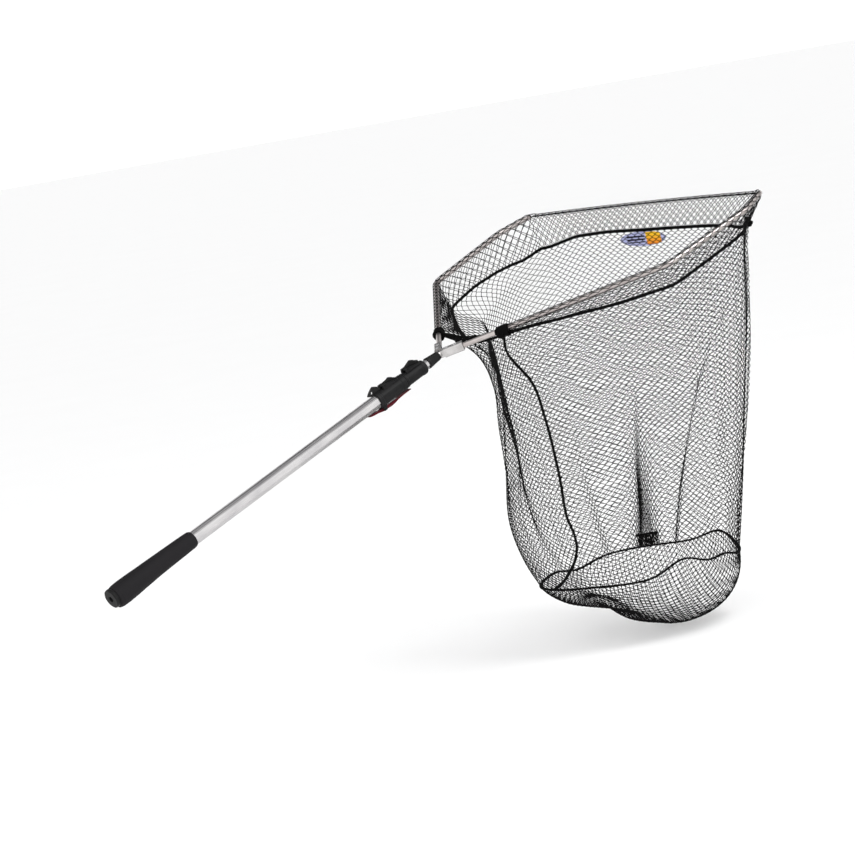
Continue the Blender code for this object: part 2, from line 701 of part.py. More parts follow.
def upper_edge(points):
    """The bag's top edge: a route on the hoop dropped clear of the sleeve."""
    return [p - Vector((0, 0, hem_depth((p - FORK_CENTRE).length) + PANEL_CLEAR)) for p in points]


def wall(name, top, angles):
    """One wall of the bag, from its top edge down to the bottom ring, of even thickness."""
    count = len(top)
    turns = [angles[0] + (angles[1] - angles[0]) * i / (count - 1) for i in range(count)]
    foot = [ring_point(turn, height=RING_CORD + RING_CLEAR) for turn in turns]
    middle = FORK_CENTRE.x + BAG_MIDDLE
    bm = bmesh.new()
    outer, inner = [], []
    for j in range(WALL_BANDS + 1):
        down = j / WALL_BANDS
        row = [wall_point(high, low, down) for high, low in zip(top, foot)]
        outer.append([bm.verts.new(p) for p in row])
        inward = [(Vector((middle, 0, p.z)) - p).normalized() for p in row]
        inner.append([bm.verts.new(p + n * BAG_WALL) for p, n in zip(row, inward)])
    for j in range(WALL_BANDS):
        for i in range(count - 1):
            bm.faces.new((outer[j][i], outer[j + 1][i], outer[j + 1][i + 1], outer[j][i + 1]))
            bm.faces.new((inner[j][i], inner[j][i + 1], inner[j + 1][i + 1], inner[j + 1][i]))
        bm.faces.new((outer[j + 1][0], outer[j][0], inner[j][0], inner[j + 1][0]))
        bm.faces.new((outer[j][-1], outer[j + 1][-1], inner[j + 1][-1], inner[j][-1]))
    for i in range(count - 1):
        bm.faces.new((outer[0][i], outer[0][i + 1], inner[0][i + 1], inner[0][i]))
        bm.faces.new((outer[-1][i + 1], outer[-1][i], inner[-1][i], inner[-1][i + 1]))
    finish_object(name, bm, "netting", Matrix.Identity(4))


def wall_point(high, low, down):
    """A point of a wall: it draws in towards the ring a little faster than it falls."""
    flat = high.lerp(low, down ** WALL_CURVE)
    return Vector((flat.x, flat.y, high.z + (low.z - high.z) * down))


def bag_walls():
    """Two side walls, the front wall and the wall at the fork, with seams between them."""
    trim = CORNER_GAP / RING_RADIUS
    split = RING_SPLIT["front"] - trim
    for prefix, side in (("near", -1), ("far", 1)):
        line = resample(side_line(side, first=CUFF + 0.009), 0.045)
        start, end = RING_SPLIT["fork"] - trim, RING_SPLIT["front"] + trim
        wall(prefix + "_side_net", upper_edge(line), (side * start, side * end))
    wall("front_net", upper_edge(front_line_points(13, inset=0.010)), (-split, split))
    reach = CUFF * sin(ARM_ANGLE) - 0.010
    forward = CUFF * cos(ARM_ANGLE) - 0.004
    shares = (-1, -0.6, -0.2, 0.2, 0.6, 1)
    back = [FORK_CENTRE + AXIS * forward + SIDE * (reach * t) for t in shares]
    start, end = RING_SPLIT["fork"] + trim, 2 * pi - RING_SPLIT["fork"] - trim
    wall("fork_net", upper_edge(back), (-start, -end))


def ring_cord():
    """Braided cord round the foot of the walls."""
    count = 40
    section = [2 * pi * k / 8 for k in range(8)]
    rings = []
    for i in range(count):
        angle = 2 * pi * i / count
        centre = ring_point(angle)
        out = Vector((cos(angle), sin(angle), 0))
        rings.append([centre + RING_CORD * (out * cos(a) + Vector((0, 0, sin(a)))) for a in section])
    bm = bmesh.new()
    skin(bm, rings, closed=True)
    finish_object("ring_cord", bm, "cord", Matrix.Identity(4))


def bag_bottom():
    """Sagging bottom below the ring, a shallow bowl of even wall."""
    top = -RING_CORD - RING_CLEAR
    depth = RING_CENTRE[1] - BAG_BOTTOM + top
    count, rows = 32, 6

    def shell(radius, sag):
        rings = []
        for j in range(rows):
            swing = j / rows * pi / 2
            rings.append([ring_point(2 * pi * i / count, radius * cos(swing) ** 0.8, top - sag * sin(swing))
                          for i in range(count)])
        return rings, ring_point(0.0, 0.0, top - sag)

    bm = bmesh.new()
    outer, outer_pole = shell(RING_RADIUS, depth)
    inner, inner_pole = shell(RING_RADIUS - BAG_WALL, depth - BAG_WALL)
    loops = [[bm.verts.new(p) for p in ring] for ring in list(reversed(outer)) + inner]
    for first, second in zip(loops, loops[1:]):
        for i in range(count):
            j = (i + 1) % count
            bm.faces.new((first[i], first[j], second[j], second[i]))
    for loop, pole in ((loops[0], outer_pole), (loops[-1], inner_pole)):
        tip = bm.verts.new(pole)
        for i in range(count):
            bm.faces.new((loop[i], loop[(i + 1) % count], tip))
    finish_object("bottom_net", bm, "netting", Matrix.Identity(4))


def seam():
    """Braided cord down the near corner between the fork's wall and the side wall."""
    high = upper_edge(side_line(-1)[:1])[0] + Vector((-0.004, 0, 0))
    low = ring_point(-RING_SPLIT["fork"], height=RING_CORD + RING_CLEAR + 0.0005)
    points = [wall_point(high, low, i / 18) for i in range(19)]
    bm = bmesh.new()
    skin(bm, pipe_rings(points, 0.0021, 8, Vector((1, 0, 0))))
    finish_object("near_seam_cord", bm, "cord", Matrix.Identity(4))


def label():
    """Oval woven label on the outside of the front wall, just below its top edge."""
    half_width, half_height = LABEL_HALF
    top = upper_edge(front_line_points(3))[1]
    lean = Matrix.Rotation(radians(-6.5), 4, "Y")
    place = Matrix.Translation(top + Vector((0.0022, LABEL_ASIDE, -half_height - 0.001))) @ lean
    turns = [2 * pi * i / 28 for i in range(28)]
    outline = [(half_width * cos(a), half_height * sin(a)) for a in turns]
    bm = bmesh.new()
    skin(bm, [[Vector((x, y, z)) for y, z in outline] for x in (LABEL_THICKNESS, 0.0)])
    finish_object("label", bm, "label", place)


def build():
    clear_scene()
    tube("outer_tube", OUTER_START, seat_end(LOWER_COLLAR), OUTER_FLATS, OUTER_WALL)
    tube("middle_tube", MIDDLE_START, seat_end(UPPER_COLLAR), MIDDLE_FLATS, INNER_WALLS)
    tube("inner_tube", INNER_START, HEAD_SLEEVE[0] + SLEEVE_SOCKET - GAP, INNER_FLATS, INNER_WALLS)
    grip()
    butt_cap()
    outer_bore = OUTER_FLATS - 2 * OUTER_WALL
    middle_bore = MIDDLE_FLATS - 2 * INNER_WALLS
    inner_bore = INNER_FLATS - 2 * INNER_WALLS
    flange_fit = 0.0004
    tail_bush("middle_tail_bush", MIDDLE_START - BUSH_FLANGE - GAP, outer_bore - flange_fit, middle_bore)
    tail_bush("inner_tail_bush", INNER_START - BUSH_FLANGE - GAP, middle_bore - flange_fit, inner_bore)
    lower_lock()
    upper_lock()
    head_sleeve()
    fork_head()
    for prefix, side in (("near", -1), ("far", 1)):
        bracket(prefix, side)
        arm(prefix, side)
        arm_sleeve(prefix, side)
    front_edge()
    bag_walls()
    ring_cord()
    bag_bottom()
    seam()
    label()


build()
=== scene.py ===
"""Looks of the folding landing net: knotless netting, braided cords and the finish of every part.

Everything is in the CAD's own frame, in metres. Near is -Y, far is +Y, and the fork's centre is
the point where the two arms' axes meet.
"""
import bpy
import json
import numpy as np
from math import cos, sin, pi, radians
from mathutils import Matrix, Vector


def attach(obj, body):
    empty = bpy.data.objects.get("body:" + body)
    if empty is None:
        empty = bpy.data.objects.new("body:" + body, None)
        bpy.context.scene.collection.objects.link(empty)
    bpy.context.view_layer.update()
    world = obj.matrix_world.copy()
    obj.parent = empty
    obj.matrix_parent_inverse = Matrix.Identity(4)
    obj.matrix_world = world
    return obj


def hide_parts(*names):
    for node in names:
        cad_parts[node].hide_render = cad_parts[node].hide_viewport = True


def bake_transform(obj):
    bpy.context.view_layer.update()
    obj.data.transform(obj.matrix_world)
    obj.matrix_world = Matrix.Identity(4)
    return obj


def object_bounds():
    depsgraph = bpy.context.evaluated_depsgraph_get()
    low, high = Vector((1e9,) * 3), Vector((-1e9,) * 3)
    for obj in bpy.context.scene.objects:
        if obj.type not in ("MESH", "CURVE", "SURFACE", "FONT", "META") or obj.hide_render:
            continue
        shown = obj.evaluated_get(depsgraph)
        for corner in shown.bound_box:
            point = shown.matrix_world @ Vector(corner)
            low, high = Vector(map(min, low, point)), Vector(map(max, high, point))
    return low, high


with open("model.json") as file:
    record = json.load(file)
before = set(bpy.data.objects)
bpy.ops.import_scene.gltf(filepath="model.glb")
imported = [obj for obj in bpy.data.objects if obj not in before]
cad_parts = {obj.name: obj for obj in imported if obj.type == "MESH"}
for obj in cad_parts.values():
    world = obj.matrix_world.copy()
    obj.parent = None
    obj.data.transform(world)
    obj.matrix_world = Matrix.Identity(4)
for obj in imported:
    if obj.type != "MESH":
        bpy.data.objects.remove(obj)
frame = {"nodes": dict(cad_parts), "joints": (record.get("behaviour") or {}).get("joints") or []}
cad_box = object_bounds()

# ---- driving dimensions, as in the CAD ----------------------------------------------------
ARM_ANGLE = radians(47.7)        # each arm's angle from the handle's axis
CUFF = 0.125                     # where the net's sleeve begins, from the fork's centre
ELBOW = 0.449
SHOULDER = (0.509, 0.350)
TIP = (0.577, 0.325)
FRONT_BOW = 0.008
BEND_RADIUS = 0.045
RING_CENTRE = (0.407, -0.492)
RING_RADIUS = 0.185

JOINTS = {joint["name"]: joint for joint in frame["joints"]}
AXIS = np.array(JOINTS["inner_slide"]["axis"], float)
SIDE = np.array((0.0, 1.0, 0.0))
NORMAL = np.cross(AXIS, SIDE)
UP = np.array((0.0, 0.0, 1.0))
NEAR_PIVOT = np.array(JOINTS["near_arm_fold"]["pos_m"], float)
FAR_PIVOT = np.array(JOINTS["far_arm_fold"]["pos_m"], float)
FORK = (NEAR_PIVOT + FAR_PIVOT) / 2 - AXIS * (FAR_PIVOT[1] / np.tan(ARM_ANGLE))

# ---- net dimensions -----------------------------------------------------------------------
MESH_WIDTH = 0.0198              # one diamond of the walls, across, at the mouth
STRAND = 0.00065                 # radius of the netting's twine
KNOT_HALF = 0.0011               # half the height of the joint where two strands meet
HEM_ROWS = 9                     # half meshes in one leg of the hem
INNER_SLIP = 0.6                 # meshes by which the hem's inner edge has slipped along it
HEM_WRAP = 0.26                  # share of a leg that lies on the tube
HEM_WRAP_ANGLE = radians(112)    # how far round the tube it lies, from the top
LAYER_GAP = 0.0011               # from the middle of the hem's lower edge to each layer
WALL_ROWS = 104                  # half meshes from the hem braid to the ring
ROW_PACE = 0.88                  # a mesh's height just below the hem, as a share of the mean
COLUMN_DRIFT = 3.0               # columns of the two sides that lean towards the fork further down
WALL_BANDS = (36, 72)            # rows where one piece of netting ends and the next begins
RIPPLE = 0.0055                  # the walls' unevenness, in and out
BOTTOM_MESH = (0.0160, 0.0120)   # one diamond of the bottom, across and down
BRAID_WIDTH = 0.0062
BRAID_PITCH = 0.0120
SAMPLES = 1600                   # points that describe the mouth's outline
RIM_SAG = 0.012                  # how far the rim hangs between the two cuffs
BAG_AXIS = 0.36                  # the bag's middle line, forward of the fork's centre
# How far the seam swings across the fork's wall: share of the way down, distance along the mouth.
SEAM_SWING = ((0.0, 0.0), (0.70, 0.0), (0.78, 0.001), (0.85, 0.024), (0.90, 0.052), (0.93, 0.076),
              (0.96, 0.104), (1.0, 0.150))

# Drop of the hem's braid below the hoop, by distance along the hoop from the near cuff.
HEM_DROP = ((0.00, 0.010), (0.06, 0.015), (0.11, 0.021), (0.16, 0.026), (0.23, 0.034), (0.29, 0.037),
            (0.34, 0.041), (0.45, 0.040), (0.55, 0.041), (0.59, 0.048), (0.63, 0.060), (0.68, 0.056),
            (0.75, 0.054), (0.95, 0.051), (1.05, 0.048), (1.14, 0.050), (1.22, 0.064), (1.30, 0.068),
            (1.37, 0.057), (1.45, 0.050), (1.55, 0.052), (1.66, 0.047), (1.75, 0.042), (1.80, 0.034),
            (1.84, 0.023), (1.87, 0.013), (1.90, 0.009), (1.98, 0.008))
# Ring angle in degrees below each place on the hoop: cuff, elbow, tip, front, tip, elbow, cuff, rim.
RING_TURNS = ((0.00, -152), (0.324, -97), (0.60, -41), (0.925, 0), (1.25, 41), (1.526, 97),
              (1.85, 152), (2.04, 208))
# How the near cuff's fall line leaves the straight: share of the way down, forward, inward.
NEAR_PULL = ((0.0, 0.0, 0.0), (0.09, 0.026, 0.050), (0.22, 0.037, 0.030), (0.35, 0.020, 0.016),
             (0.55, -0.008, 0.008), (0.75, -0.032, 0.008), (0.90, -0.018, 0.004), (1.0, 0.0, 0.0))
# The same for the far cuff's fall line.
FAR_PULL = ((0.0, 0.0, 0.0), (0.08, 0.034, 0.050), (0.20, 0.050, 0.038), (0.35, 0.036, 0.026),
            (0.55, 0.010, 0.016), (0.75, -0.020, 0.008), (0.90, -0.016, 0.004), (1.0, 0.0, 0.0))
# A long crease below the far cuff: share of the way down, forward.
FAR_CREASE = ((0.0, 0.0), (0.10, 0.003), (0.20, 0.010), (0.35, 0.021), (0.55, 0.030), (0.75, 0.022),
              (0.90, 0.006), (1.0, 0.0))
CREASE_DRIFT = 0.25              # how far it wanders along the mouth on its way down
CREASE_SPREAD = 0.075
HEM_PULL_SHARE = (0.088, 0.060)  # where the cuffs' pull widens below the hem, and over what share
WALL_SWELL = 0.012               # how far the free walls belly out
# The same for the middle of the fork's wall: share of the way down, forward.
MIDDLE_PULL = ((0.0, 0.0), (0.09, 0.010), (0.22, 0.020), (0.35, 0.012), (0.55, -0.008), (0.75, -0.026),
               (0.90, -0.020), (1.0, 0.0))
# How far the walls below the two tips are drawn in: share of the way down, inward.
CORNER_PULL = ((0.0, 0.0), (0.07, 0.015), (0.12, 0.017), (0.18, 0.013), (0.27, 0.007), (0.36, 0.002),
               (0.5, 0.0), (1.0, 0.0))
# Waves of the ring: angle and spread in degrees, outward, upward.
RING_WAVES = ((150, 20, 0.020, -0.006), (-108, 15, 0.0, 0.028), (-78, 14, 0.0, 0.014), (-8, 18, 0.0, 0.022),
              (93, 16, 0.0, -0.014), (176, 16, 0.0, -0.004))
# Pleats: place on the hoop, place at the ring, share of the way down where it starts, spread,
# meshes drawn in.
PLEATS = ((0.94, 1.29, 0.34, 0.0045, 3.4), (0.58, 1.13, 0.04, 0.0045, 3.0), (1.27, 1.39, 0.50, 0.0045, 2.2),
          (1.84, 1.56, 0.05, 0.0045, 0.5))
GATHER = (0.98, 1.260, 0.50, 0.018, 13.0)     # the bunched netting, in the same terms

LABEL_HALF = (0.067, 0.0148)     # half its width and height
LABEL_PLACE = 0.951              # its middle, by place along the mouth
LABEL_DROP = 0.0685              # from the hoop down to its middle
LABEL_CLEAR = 0.0016             # from the netting to the label behind it


# ---- small vector helpers -----------------------------------------------------------------
def unit(v):
    """Vectors along the last axis, scaled to length one."""
    length = np.linalg.norm(v, axis=-1, keepdims=True)
    return v / np.maximum(length, 1e-12)


def ease(t):
    """Smooth step from 0 to 1."""
    t = np.clip(t, 0.0, 1.0)
    return t * t * (3 - 2 * t)


def bump(x, centre, spread):
    """A bell of height one."""
    return np.exp(-((x - centre) / spread) ** 2)


def blur(values, window):
    """A moving average round a closed line of samples."""
    reach = window // 2
    padded = np.concatenate((values[-reach:], values, values[:reach]))
    kernel = np.hanning(2 * reach + 3)[1:-1]
    kernel /= kernel.sum()
    if values.ndim == 1:
        return np.convolve(padded, kernel, "valid")
    return np.stack([np.convolve(padded[:, k], kernel, "valid") for k in range(values.shape[1])], axis=1)


# ---- the mouth ----------------------------------------------------------------------------
def on_hoop(forward, sideways):
    """A point in the plane of the two arms."""
    return FORK + AXIS * forward + SIDE * sideways


def arm_outline():
    """An arm's centre line, (forward, sideways), from its cuff to its tip, with rounded bends."""
    direction = np.array((cos(ARM_ANGLE), sin(ARM_ANGLE)))
    corners = [direction * CUFF, direction * ELBOW, np.array(SHOULDER), np.array(TIP)]
    points = [corners[0]]
    for before, corner, after in zip(corners, corners[1:], corners[2:]):
        into, out = unit(corner - before), unit(after - corner)
        setback = BEND_RADIUS * np.tan(np.arccos(into @ out) / 2)
        entry, leave = corner - into * setback, corner + out * setback
        for t in np.linspace(0, 1, 9):
            points.append((1 - t) ** 2 * entry + 2 * t * (1 - t) * corner + t * t * leave)
    points.append(corners[3])
    return np.array(points)


def mouth_line():
    """Evenly spaced points right round the mouth: near arm, front, far arm, rim at the fork."""
    arm = arm_outline()
    near = [on_hoop(u, -v) for u, v in arm]
    far = [on_hoop(u, v) for u, v in arm[::-1]]
    front = [on_hoop(TIP[0] + FRONT_BOW * (1 - t * t), t * TIP[1]) for t in np.linspace(-1, 1, 41)[1:-1]]
    rim = []
    for t in np.linspace(0, 1, 25)[1:-1]:
        sag = 4 * t * (1 - t)
        rim.append(far[-1] * (1 - t) + near[0] * t - UP * (RIM_SAG * sag))
    line = np.array(near + front + far + rim + [near[0]])
    steps = np.linalg.norm(np.diff(line, axis=0), axis=1)
    reach = np.concatenate(((0.0,), np.cumsum(steps)))
    places = np.linspace(0, reach[-1], SAMPLES, endpoint=False)
    even = np.stack([np.interp(places, reach, line[:, k]) for k in range(3)], axis=1)
    return even, reach[-1]


LINE, LENGTH = mouth_line()
PLACES = np.arange(SAMPLES) * LENGTH / SAMPLES
COLUMNS = int(round(LENGTH / MESH_WIDTH))
LINE = blur(LINE, 13)
TANGENT = unit(np.roll(LINE, -1, axis=0) - np.roll(LINE, 1, axis=0))
OUTWARD = unit(np.cross(TANGENT, UP))
OVER = unit(np.cross(OUTWARD, TANGENT))
SOFT_OUTWARD = unit(blur(OUTWARD, 161))
TIP_PLACE = 0.600
FAR_CUFF_PLACE = LENGTH - 2 * CUFF * sin(ARM_ANGLE)
FRONT_MIDDLE = TIP_PLACE + (FAR_CUFF_PLACE - 2 * TIP_PLACE) / 2
RIM_MIDDLE = (FAR_CUFF_PLACE + LENGTH) / 2


def table(rows, column=1, window=41):
    """A value for every sample of the mouth, from a few listed places along it."""
    places = [row[0] for row in rows]
    values = [row[column] for row in rows]
    return blur(np.interp(PLACES, places + [LENGTH], values + [values[0]]), window)


def ring_angles():
    """The ring angle below each sample, running once round."""
    places = [row[0] for row in RING_TURNS[:-1]] + [LENGTH]
    turns = [radians(row[1]) for row in RING_TURNS]
    base = np.interp(PLACES, places, turns)
    straight = turns[0] + 2 * pi * PLACES / LENGTH
    return blur(base - straight, 61) + straight


def ring_points(angle, height=0.0):
    """Points on the wavy ring at the foot of the walls."""
    degrees_ = np.degrees(np.angle(np.exp(1j * angle)))
    out, up = np.zeros_like(angle), np.zeros_like(angle)
    for centre, spread, outward, upward in RING_WAVES:
        away = (degrees_ - centre + 180) % 360 - 180
        out += outward * bump(away, 0, spread)
        up += upward * bump(away, 0, spread)
    radius = RING_RADIUS + out
    x = FORK[0] + RING_CENTRE[0] + radius * np.cos(angle)
    y = radius * np.sin(angle)
    z = FORK[2] + RING_CENTRE[1] + up + height
    return np.stack((x, y, z), axis=-1)


ANGLES = ring_angles()
FOOT = ring_points(ANGLES)
DROP = table(HEM_DROP)
on_near_arm = PLACES < TIP_PLACE + 0.01
on_far_arm = (PLACES > 1.24) & (PLACES < FAR_CUFF_PLACE)
at_rim = PLACES > FAR_CUFF_PLACE + 0.004
TUBE = blur(np.where(at_rim, 0.0030, np.where(on_near_arm | on_far_arm, 0.0066, 0.0042)), 15)
RIM_SHARE = (LINE[:, 1] - FORK[1]) / (CUFF * sin(ARM_ANGLE))
NEAR_CUFF_WAY = np.minimum(PLACES, LENGTH - PLACES)
FAR_CUFF_WAY = np.abs(PLACES - FAR_CUFF_PLACE)


def fork_weights():
    """How strongly each sample follows the pull at the cuffs, at the hem and below it, and its side."""
    away = np.minimum(NEAR_CUFF_WAY, FAR_CUFF_WAY)
    inside = PLACES > FAR_CUFF_PLACE
    near, wide = bump(away, 0, 0.115), 1 - ease((away - 0.22) / 0.36)
    narrow = 1.15 * np.exp(-away / 0.17) * (1 - ease((away - 0.35) / 0.25))
    at_hem = np.where(inside, 1.0, np.where(PLACES < LENGTH / 2, near, narrow))
    below = np.where(inside, 1.0, np.where(PLACES < LENGTH / 2, near, wide))
    lateral = np.clip(RIM_SHARE, -1, 1)
    lateral = np.where(inside, lateral, np.sign(RIM_SHARE))
    middle = np.where(inside, 1 - lateral ** 2, 0.0)
    return blur(at_hem, 21), blur(below, 21), blur(lateral, 9), blur(middle, 21)


PULLED_HEM, PULLED, LATERAL, MIDDLE = fork_weights()
CORNERS = bump(PLACES, TIP_PLACE, 0.085) + 0.35 * bump(PLACES, FAR_CUFF_PLACE - TIP_PLACE, 0.11)


def at(values, places):
    """Values of the samples at places along the mouth, wrapping round."""
    where = np.mod(places, LENGTH)
    span = np.append(PLACES, LENGTH)
    if values.ndim == 1:
        return np.interp(where, span, np.append(values, values[0]))
    closed = np.concatenate((values, values[:1]))
    return np.stack([np.interp(where, span, closed[:, k]) for k in range(3)], axis=-1)


# ---- the bag's surface --------------------------------------------------------------------
def follow(rows, share, column=1):
    """A smooth curve through a table of (share of the way down, value, ...)."""
    knots = np.array(rows)
    where = np.asarray(share, float)
    index = np.clip(np.searchsorted(knots[:, 0], where, side="right") - 1, 0, len(knots) - 2)
    low, high = knots[index], knots[index + 1]
    slopes = np.gradient(knots[:, column], knots[:, 0])
    span = high[..., 0] - low[..., 0]
    t = (where - low[..., 0]) / span
    start, end = low[..., column], high[..., column]
    into, out = slopes[index] * span, slopes[index + 1] * span
    bend = (1 - t) * into - t * out + (1 - 2 * t) * (start - end)
    return start * (1 - t) + end * t + t * (1 - t) * bend


def fall(places, share):
    """A point of the bag this share of the way from the hoop down to the ring."""
    top, foot = at(LINE, places), at(FOOT, places)
    share = np.asarray(share, float)
    point = top + (foot - top) * share[..., None]
    lateral, mid = at(LATERAL, places), at(MIDDLE, places)
    lower = ease((share - HEM_PULL_SHARE[0]) / HEM_PULL_SHARE[1])
    weight = at(PULLED_HEM, places) * (1 - lower) + at(PULLED, places) * lower
    far = (lateral + 1) / 2
    forward = follow(NEAR_PULL, share) * (1 - far) + follow(FAR_PULL, share) * far
    inward = follow(NEAR_PULL, share, 2) * (1 - far) + follow(FAR_PULL, share, 2) * far
    point[..., 0] += weight * (forward * (1 - mid) + follow(MIDDLE_PULL, share) * mid)
    point[..., 1] -= weight * inward * lateral
    crease = bump(places, FAR_CUFF_PLACE - CREASE_DRIFT * share, CREASE_SPREAD)
    point[..., 0] += crease * follow(FAR_CREASE, share)
    corner = at(CORNERS, places)
    swell = WALL_SWELL * np.sin(pi * share) * (1 - weight) * (1 - corner)
    swell = swell - follow(CORNER_PULL, share) * corner
    return point + at(SOFT_OUTWARD, places) * swell[..., None]


def hem_share(places):
    """The share of the way down at which the hem's braid lies."""
    depth = at(LINE, places)[..., 2] - at(FOOT, places)[..., 2]
    return at(DROP, places) / depth


def braid_line(places):
    """The hem's lower edge."""
    return fall(places, hem_share(places))


def hem_point(places, leg):
    """A point of the folded hem: leg runs from -1, the inner edge, over the tube at 0, to 1."""
    centre, out, over = at(LINE, places), at(OUTWARD, places), at(OVER, places)
    radius = at(TUBE, places)[..., None]
    side = np.sign(leg)
    turn = np.minimum(abs(leg) / HEM_WRAP, 1.0) * HEM_WRAP_ANGLE
    on_tube = centre + radius * (over * np.cos(turn) + out * (side * np.sin(turn)))
    edge = braid_line(places) + out * (side * LAYER_GAP)
    straight = max(0.0, (abs(leg) - HEM_WRAP) / (1 - HEM_WRAP))
    shallow = 1 - ease((at(DROP, places) - 0.010) / 0.028)
    straight = straight + shallow * (ease(ease(straight)) - straight)
    return on_tube + (edge - on_tube) * straight[..., None]


def pleat_places(share, columns):
    """Where columns of meshes lie along the mouth, drawn together at the pleats lower down."""
    fine = np.linspace(0, LENGTH, 4001)
    turns = np.interp(fine, np.append(PLACES, LENGTH), np.append(ANGLES, ANGLES[0] + 2 * pi))
    ring_pace = np.gradient(turns)
    ring_pace /= ring_pace.mean()
    density = (1 - share) + share * ring_pace
    density /= density.mean()
    for top, foot, start, spread, meshes in PLEATS + (GATHER,):
        amount = meshes * ease((share - start) / (1 - start))
        centre = top + (foot - top) * share
        width = spread * (0.6 + 0.8 * share) * 1.8
        bell = bump(fine, centre, width)
        density = density + amount * bell / bell.sum() * len(fine) / COLUMNS
    total = np.concatenate(((0.0,), np.cumsum((density[1:] + density[:-1]) / 2)))
    total *= COLUMNS / total[-1]
    total += COLUMN_DRIFT * share * np.sin(2 * pi * fine / LENGTH)
    return np.interp(np.mod(columns, COLUMNS), total, fine)


# ---- mesh builders ------------------------------------------------------------------------
def mesh_object(name, verts, faces, finish):
    """An object from arrays of points and of quads."""
    mesh = bpy.data.meshes.new(name)
    faces = np.asarray(faces, np.int32)
    mesh.vertices.add(len(verts))
    mesh.vertices.foreach_set("co", np.asarray(verts, np.float32).ravel())
    mesh.loops.add(faces.size)
    mesh.loops.foreach_set("vertex_index", faces.ravel())
    mesh.polygons.add(len(faces))
    mesh.polygons.foreach_set("loop_start", np.arange(0, faces.size, faces.shape[1], dtype=np.int32))
    mesh.polygons.foreach_set("use_smooth", np.ones(len(faces), bool))
    mesh.update(calc_edges=True)
    mesh.materials.append(finish)
    obj = bpy.data.objects.new(name, mesh)
    bpy.context.scene.collection.objects.link(obj)
    return obj


def tubes(paths, normals, radius, sides=4, closed=False):
    """Quads of round tubes along many paths at once; paths and normals are (path, point, 3)."""
    count, length, _ = paths.shape
    if closed:
        along = unit(np.roll(paths, -1, axis=1) - np.roll(paths, 1, axis=1))
    else:
        along = unit(np.gradient(paths, axis=1))
    across = unit(np.cross(along, normals))
    over = np.cross(across, along)
    turn = np.arange(sides) * 2 * pi / sides
    radius = np.broadcast_to(np.asarray(radius, float), (count, length))[..., None, None]
    rings = (across[:, :, None, :] * np.cos(turn)[None, None, :, None]
             + over[:, :, None, :] * np.sin(turn)[None, None, :, None])
    verts = (paths[:, :, None, :] + radius * rings).reshape(-1, 3)
    grid = np.arange(count * length * sides).reshape(count, length, sides)
    first = grid if closed else grid[:, :-1]
    second = np.roll(grid, -1, axis=1) if closed else grid[:, 1:]
    quads = np.stack((first, np.roll(first, -1, axis=2), np.roll(second, -1, axis=2), second), axis=-1)
    return verts, quads.reshape(-1, 4)


def joined(parts):
    """One set of points and quads from several."""
    verts, faces, start = [], [], 0
    for v, f in parts:
        verts.append(v)
        faces.append(f + start)
        start += len(v)
    return np.concatenate(verts), np.concatenate(faces)


# ---- netting ------------------------------------------------------------------------------
def net_nodes():
    """Where the meshes meet: (row, column, 3), and the directions round and down at each."""
    columns = np.arange(COLUMNS, dtype=float)
    rows = []
    legs = np.linspace(-1, 1, 2 * HEM_ROWS + 1)
    for index, leg in enumerate(legs):
        slip = INNER_SLIP * max(0.0, -leg)
        rows.append(hem_point(pleat_places(0.0, columns + 0.5 * (index % 2) + slip), leg))
    for step in range(1, WALL_ROWS + 1):
        index = 2 * HEM_ROWS + step
        down = step / WALL_ROWS
        down *= ROW_PACE + (1 - ROW_PACE) * down
        places = pleat_places(down, columns + 0.5 * (index % 2))
        start = hem_share(places)
        outer_layer = at(SOFT_OUTWARD, places) * (LAYER_GAP * (1 - down))
        rows.append(fall(places, start + (1 - start) * down) + outer_layer)
    nodes = np.array(rows)
    nodes += ripple(nodes)
    following = np.roll(nodes, -1, axis=1)
    before = np.roll(nodes, 1, axis=1)
    around = unit(following - before)
    down = unit(np.gradient(nodes, axis=0))
    return nodes, around, down


def ripple(nodes):
    """Soft unevenness of a hanging net: slow waves in and out, strongest halfway down."""
    depth = np.linspace(0, 1, nodes.shape[0])[:, None]
    angle = np.linspace(0, 2 * pi, nodes.shape[1], endpoint=False)[None, :]
    wave = (0.5 * np.sin(9 * angle + 2.0 * depth) + 0.35 * np.sin(17 * angle - 3.0 * depth + 1.0)
            + 0.25 * np.sin(31 * angle + 5.0 * depth + 2.0))
    level = ease((depth - 0.2) / 0.3) * (1 - 0.4 * depth)
    centre = np.array((FORK[0] + BAG_AXIS, 0.0, 0.0))
    outward = nodes - centre
    outward[..., 2] = 0
    return unit(outward) * (RIPPLE * wave * level)[..., None]


def strand_paths(nodes, around, down, rows, lean):
    """The zigzag strands through some rows: lean is +1 for those that leave even knots to the right."""
    paths, normals = [], []
    for row in rows:
        even = row % 2 == 0
        shift = 0 if even or lean > 0 else 1
        place = np.roll(nodes[row], shift, axis=0)
        side = np.roll(around[row], shift, axis=0)
        fallen = np.roll(down[row], shift, axis=0)
        offset = side * (STRAND * 0.92 * (lean if even else -lean))
        face = unit(np.cross(side, fallen))
        for end in (-1, 1):
            paths.append(place + offset + fallen * (KNOT_HALF * end))
            normals.append(face)
    return np.stack(paths, axis=1), np.stack(normals, axis=1)


def netting(name, nodes, around, down, rows, columns, finish):
    """A piece of net between two rows and two columns, as real strands."""
    parts = []
    for lean in (1, -1):
        paths, normals = strand_paths(nodes, around, down, rows, lean)
        parts.append(tubes(paths[columns], normals[columns], STRAND))
    verts, faces = joined(parts)
    return mesh_object(name, verts, faces, finish)


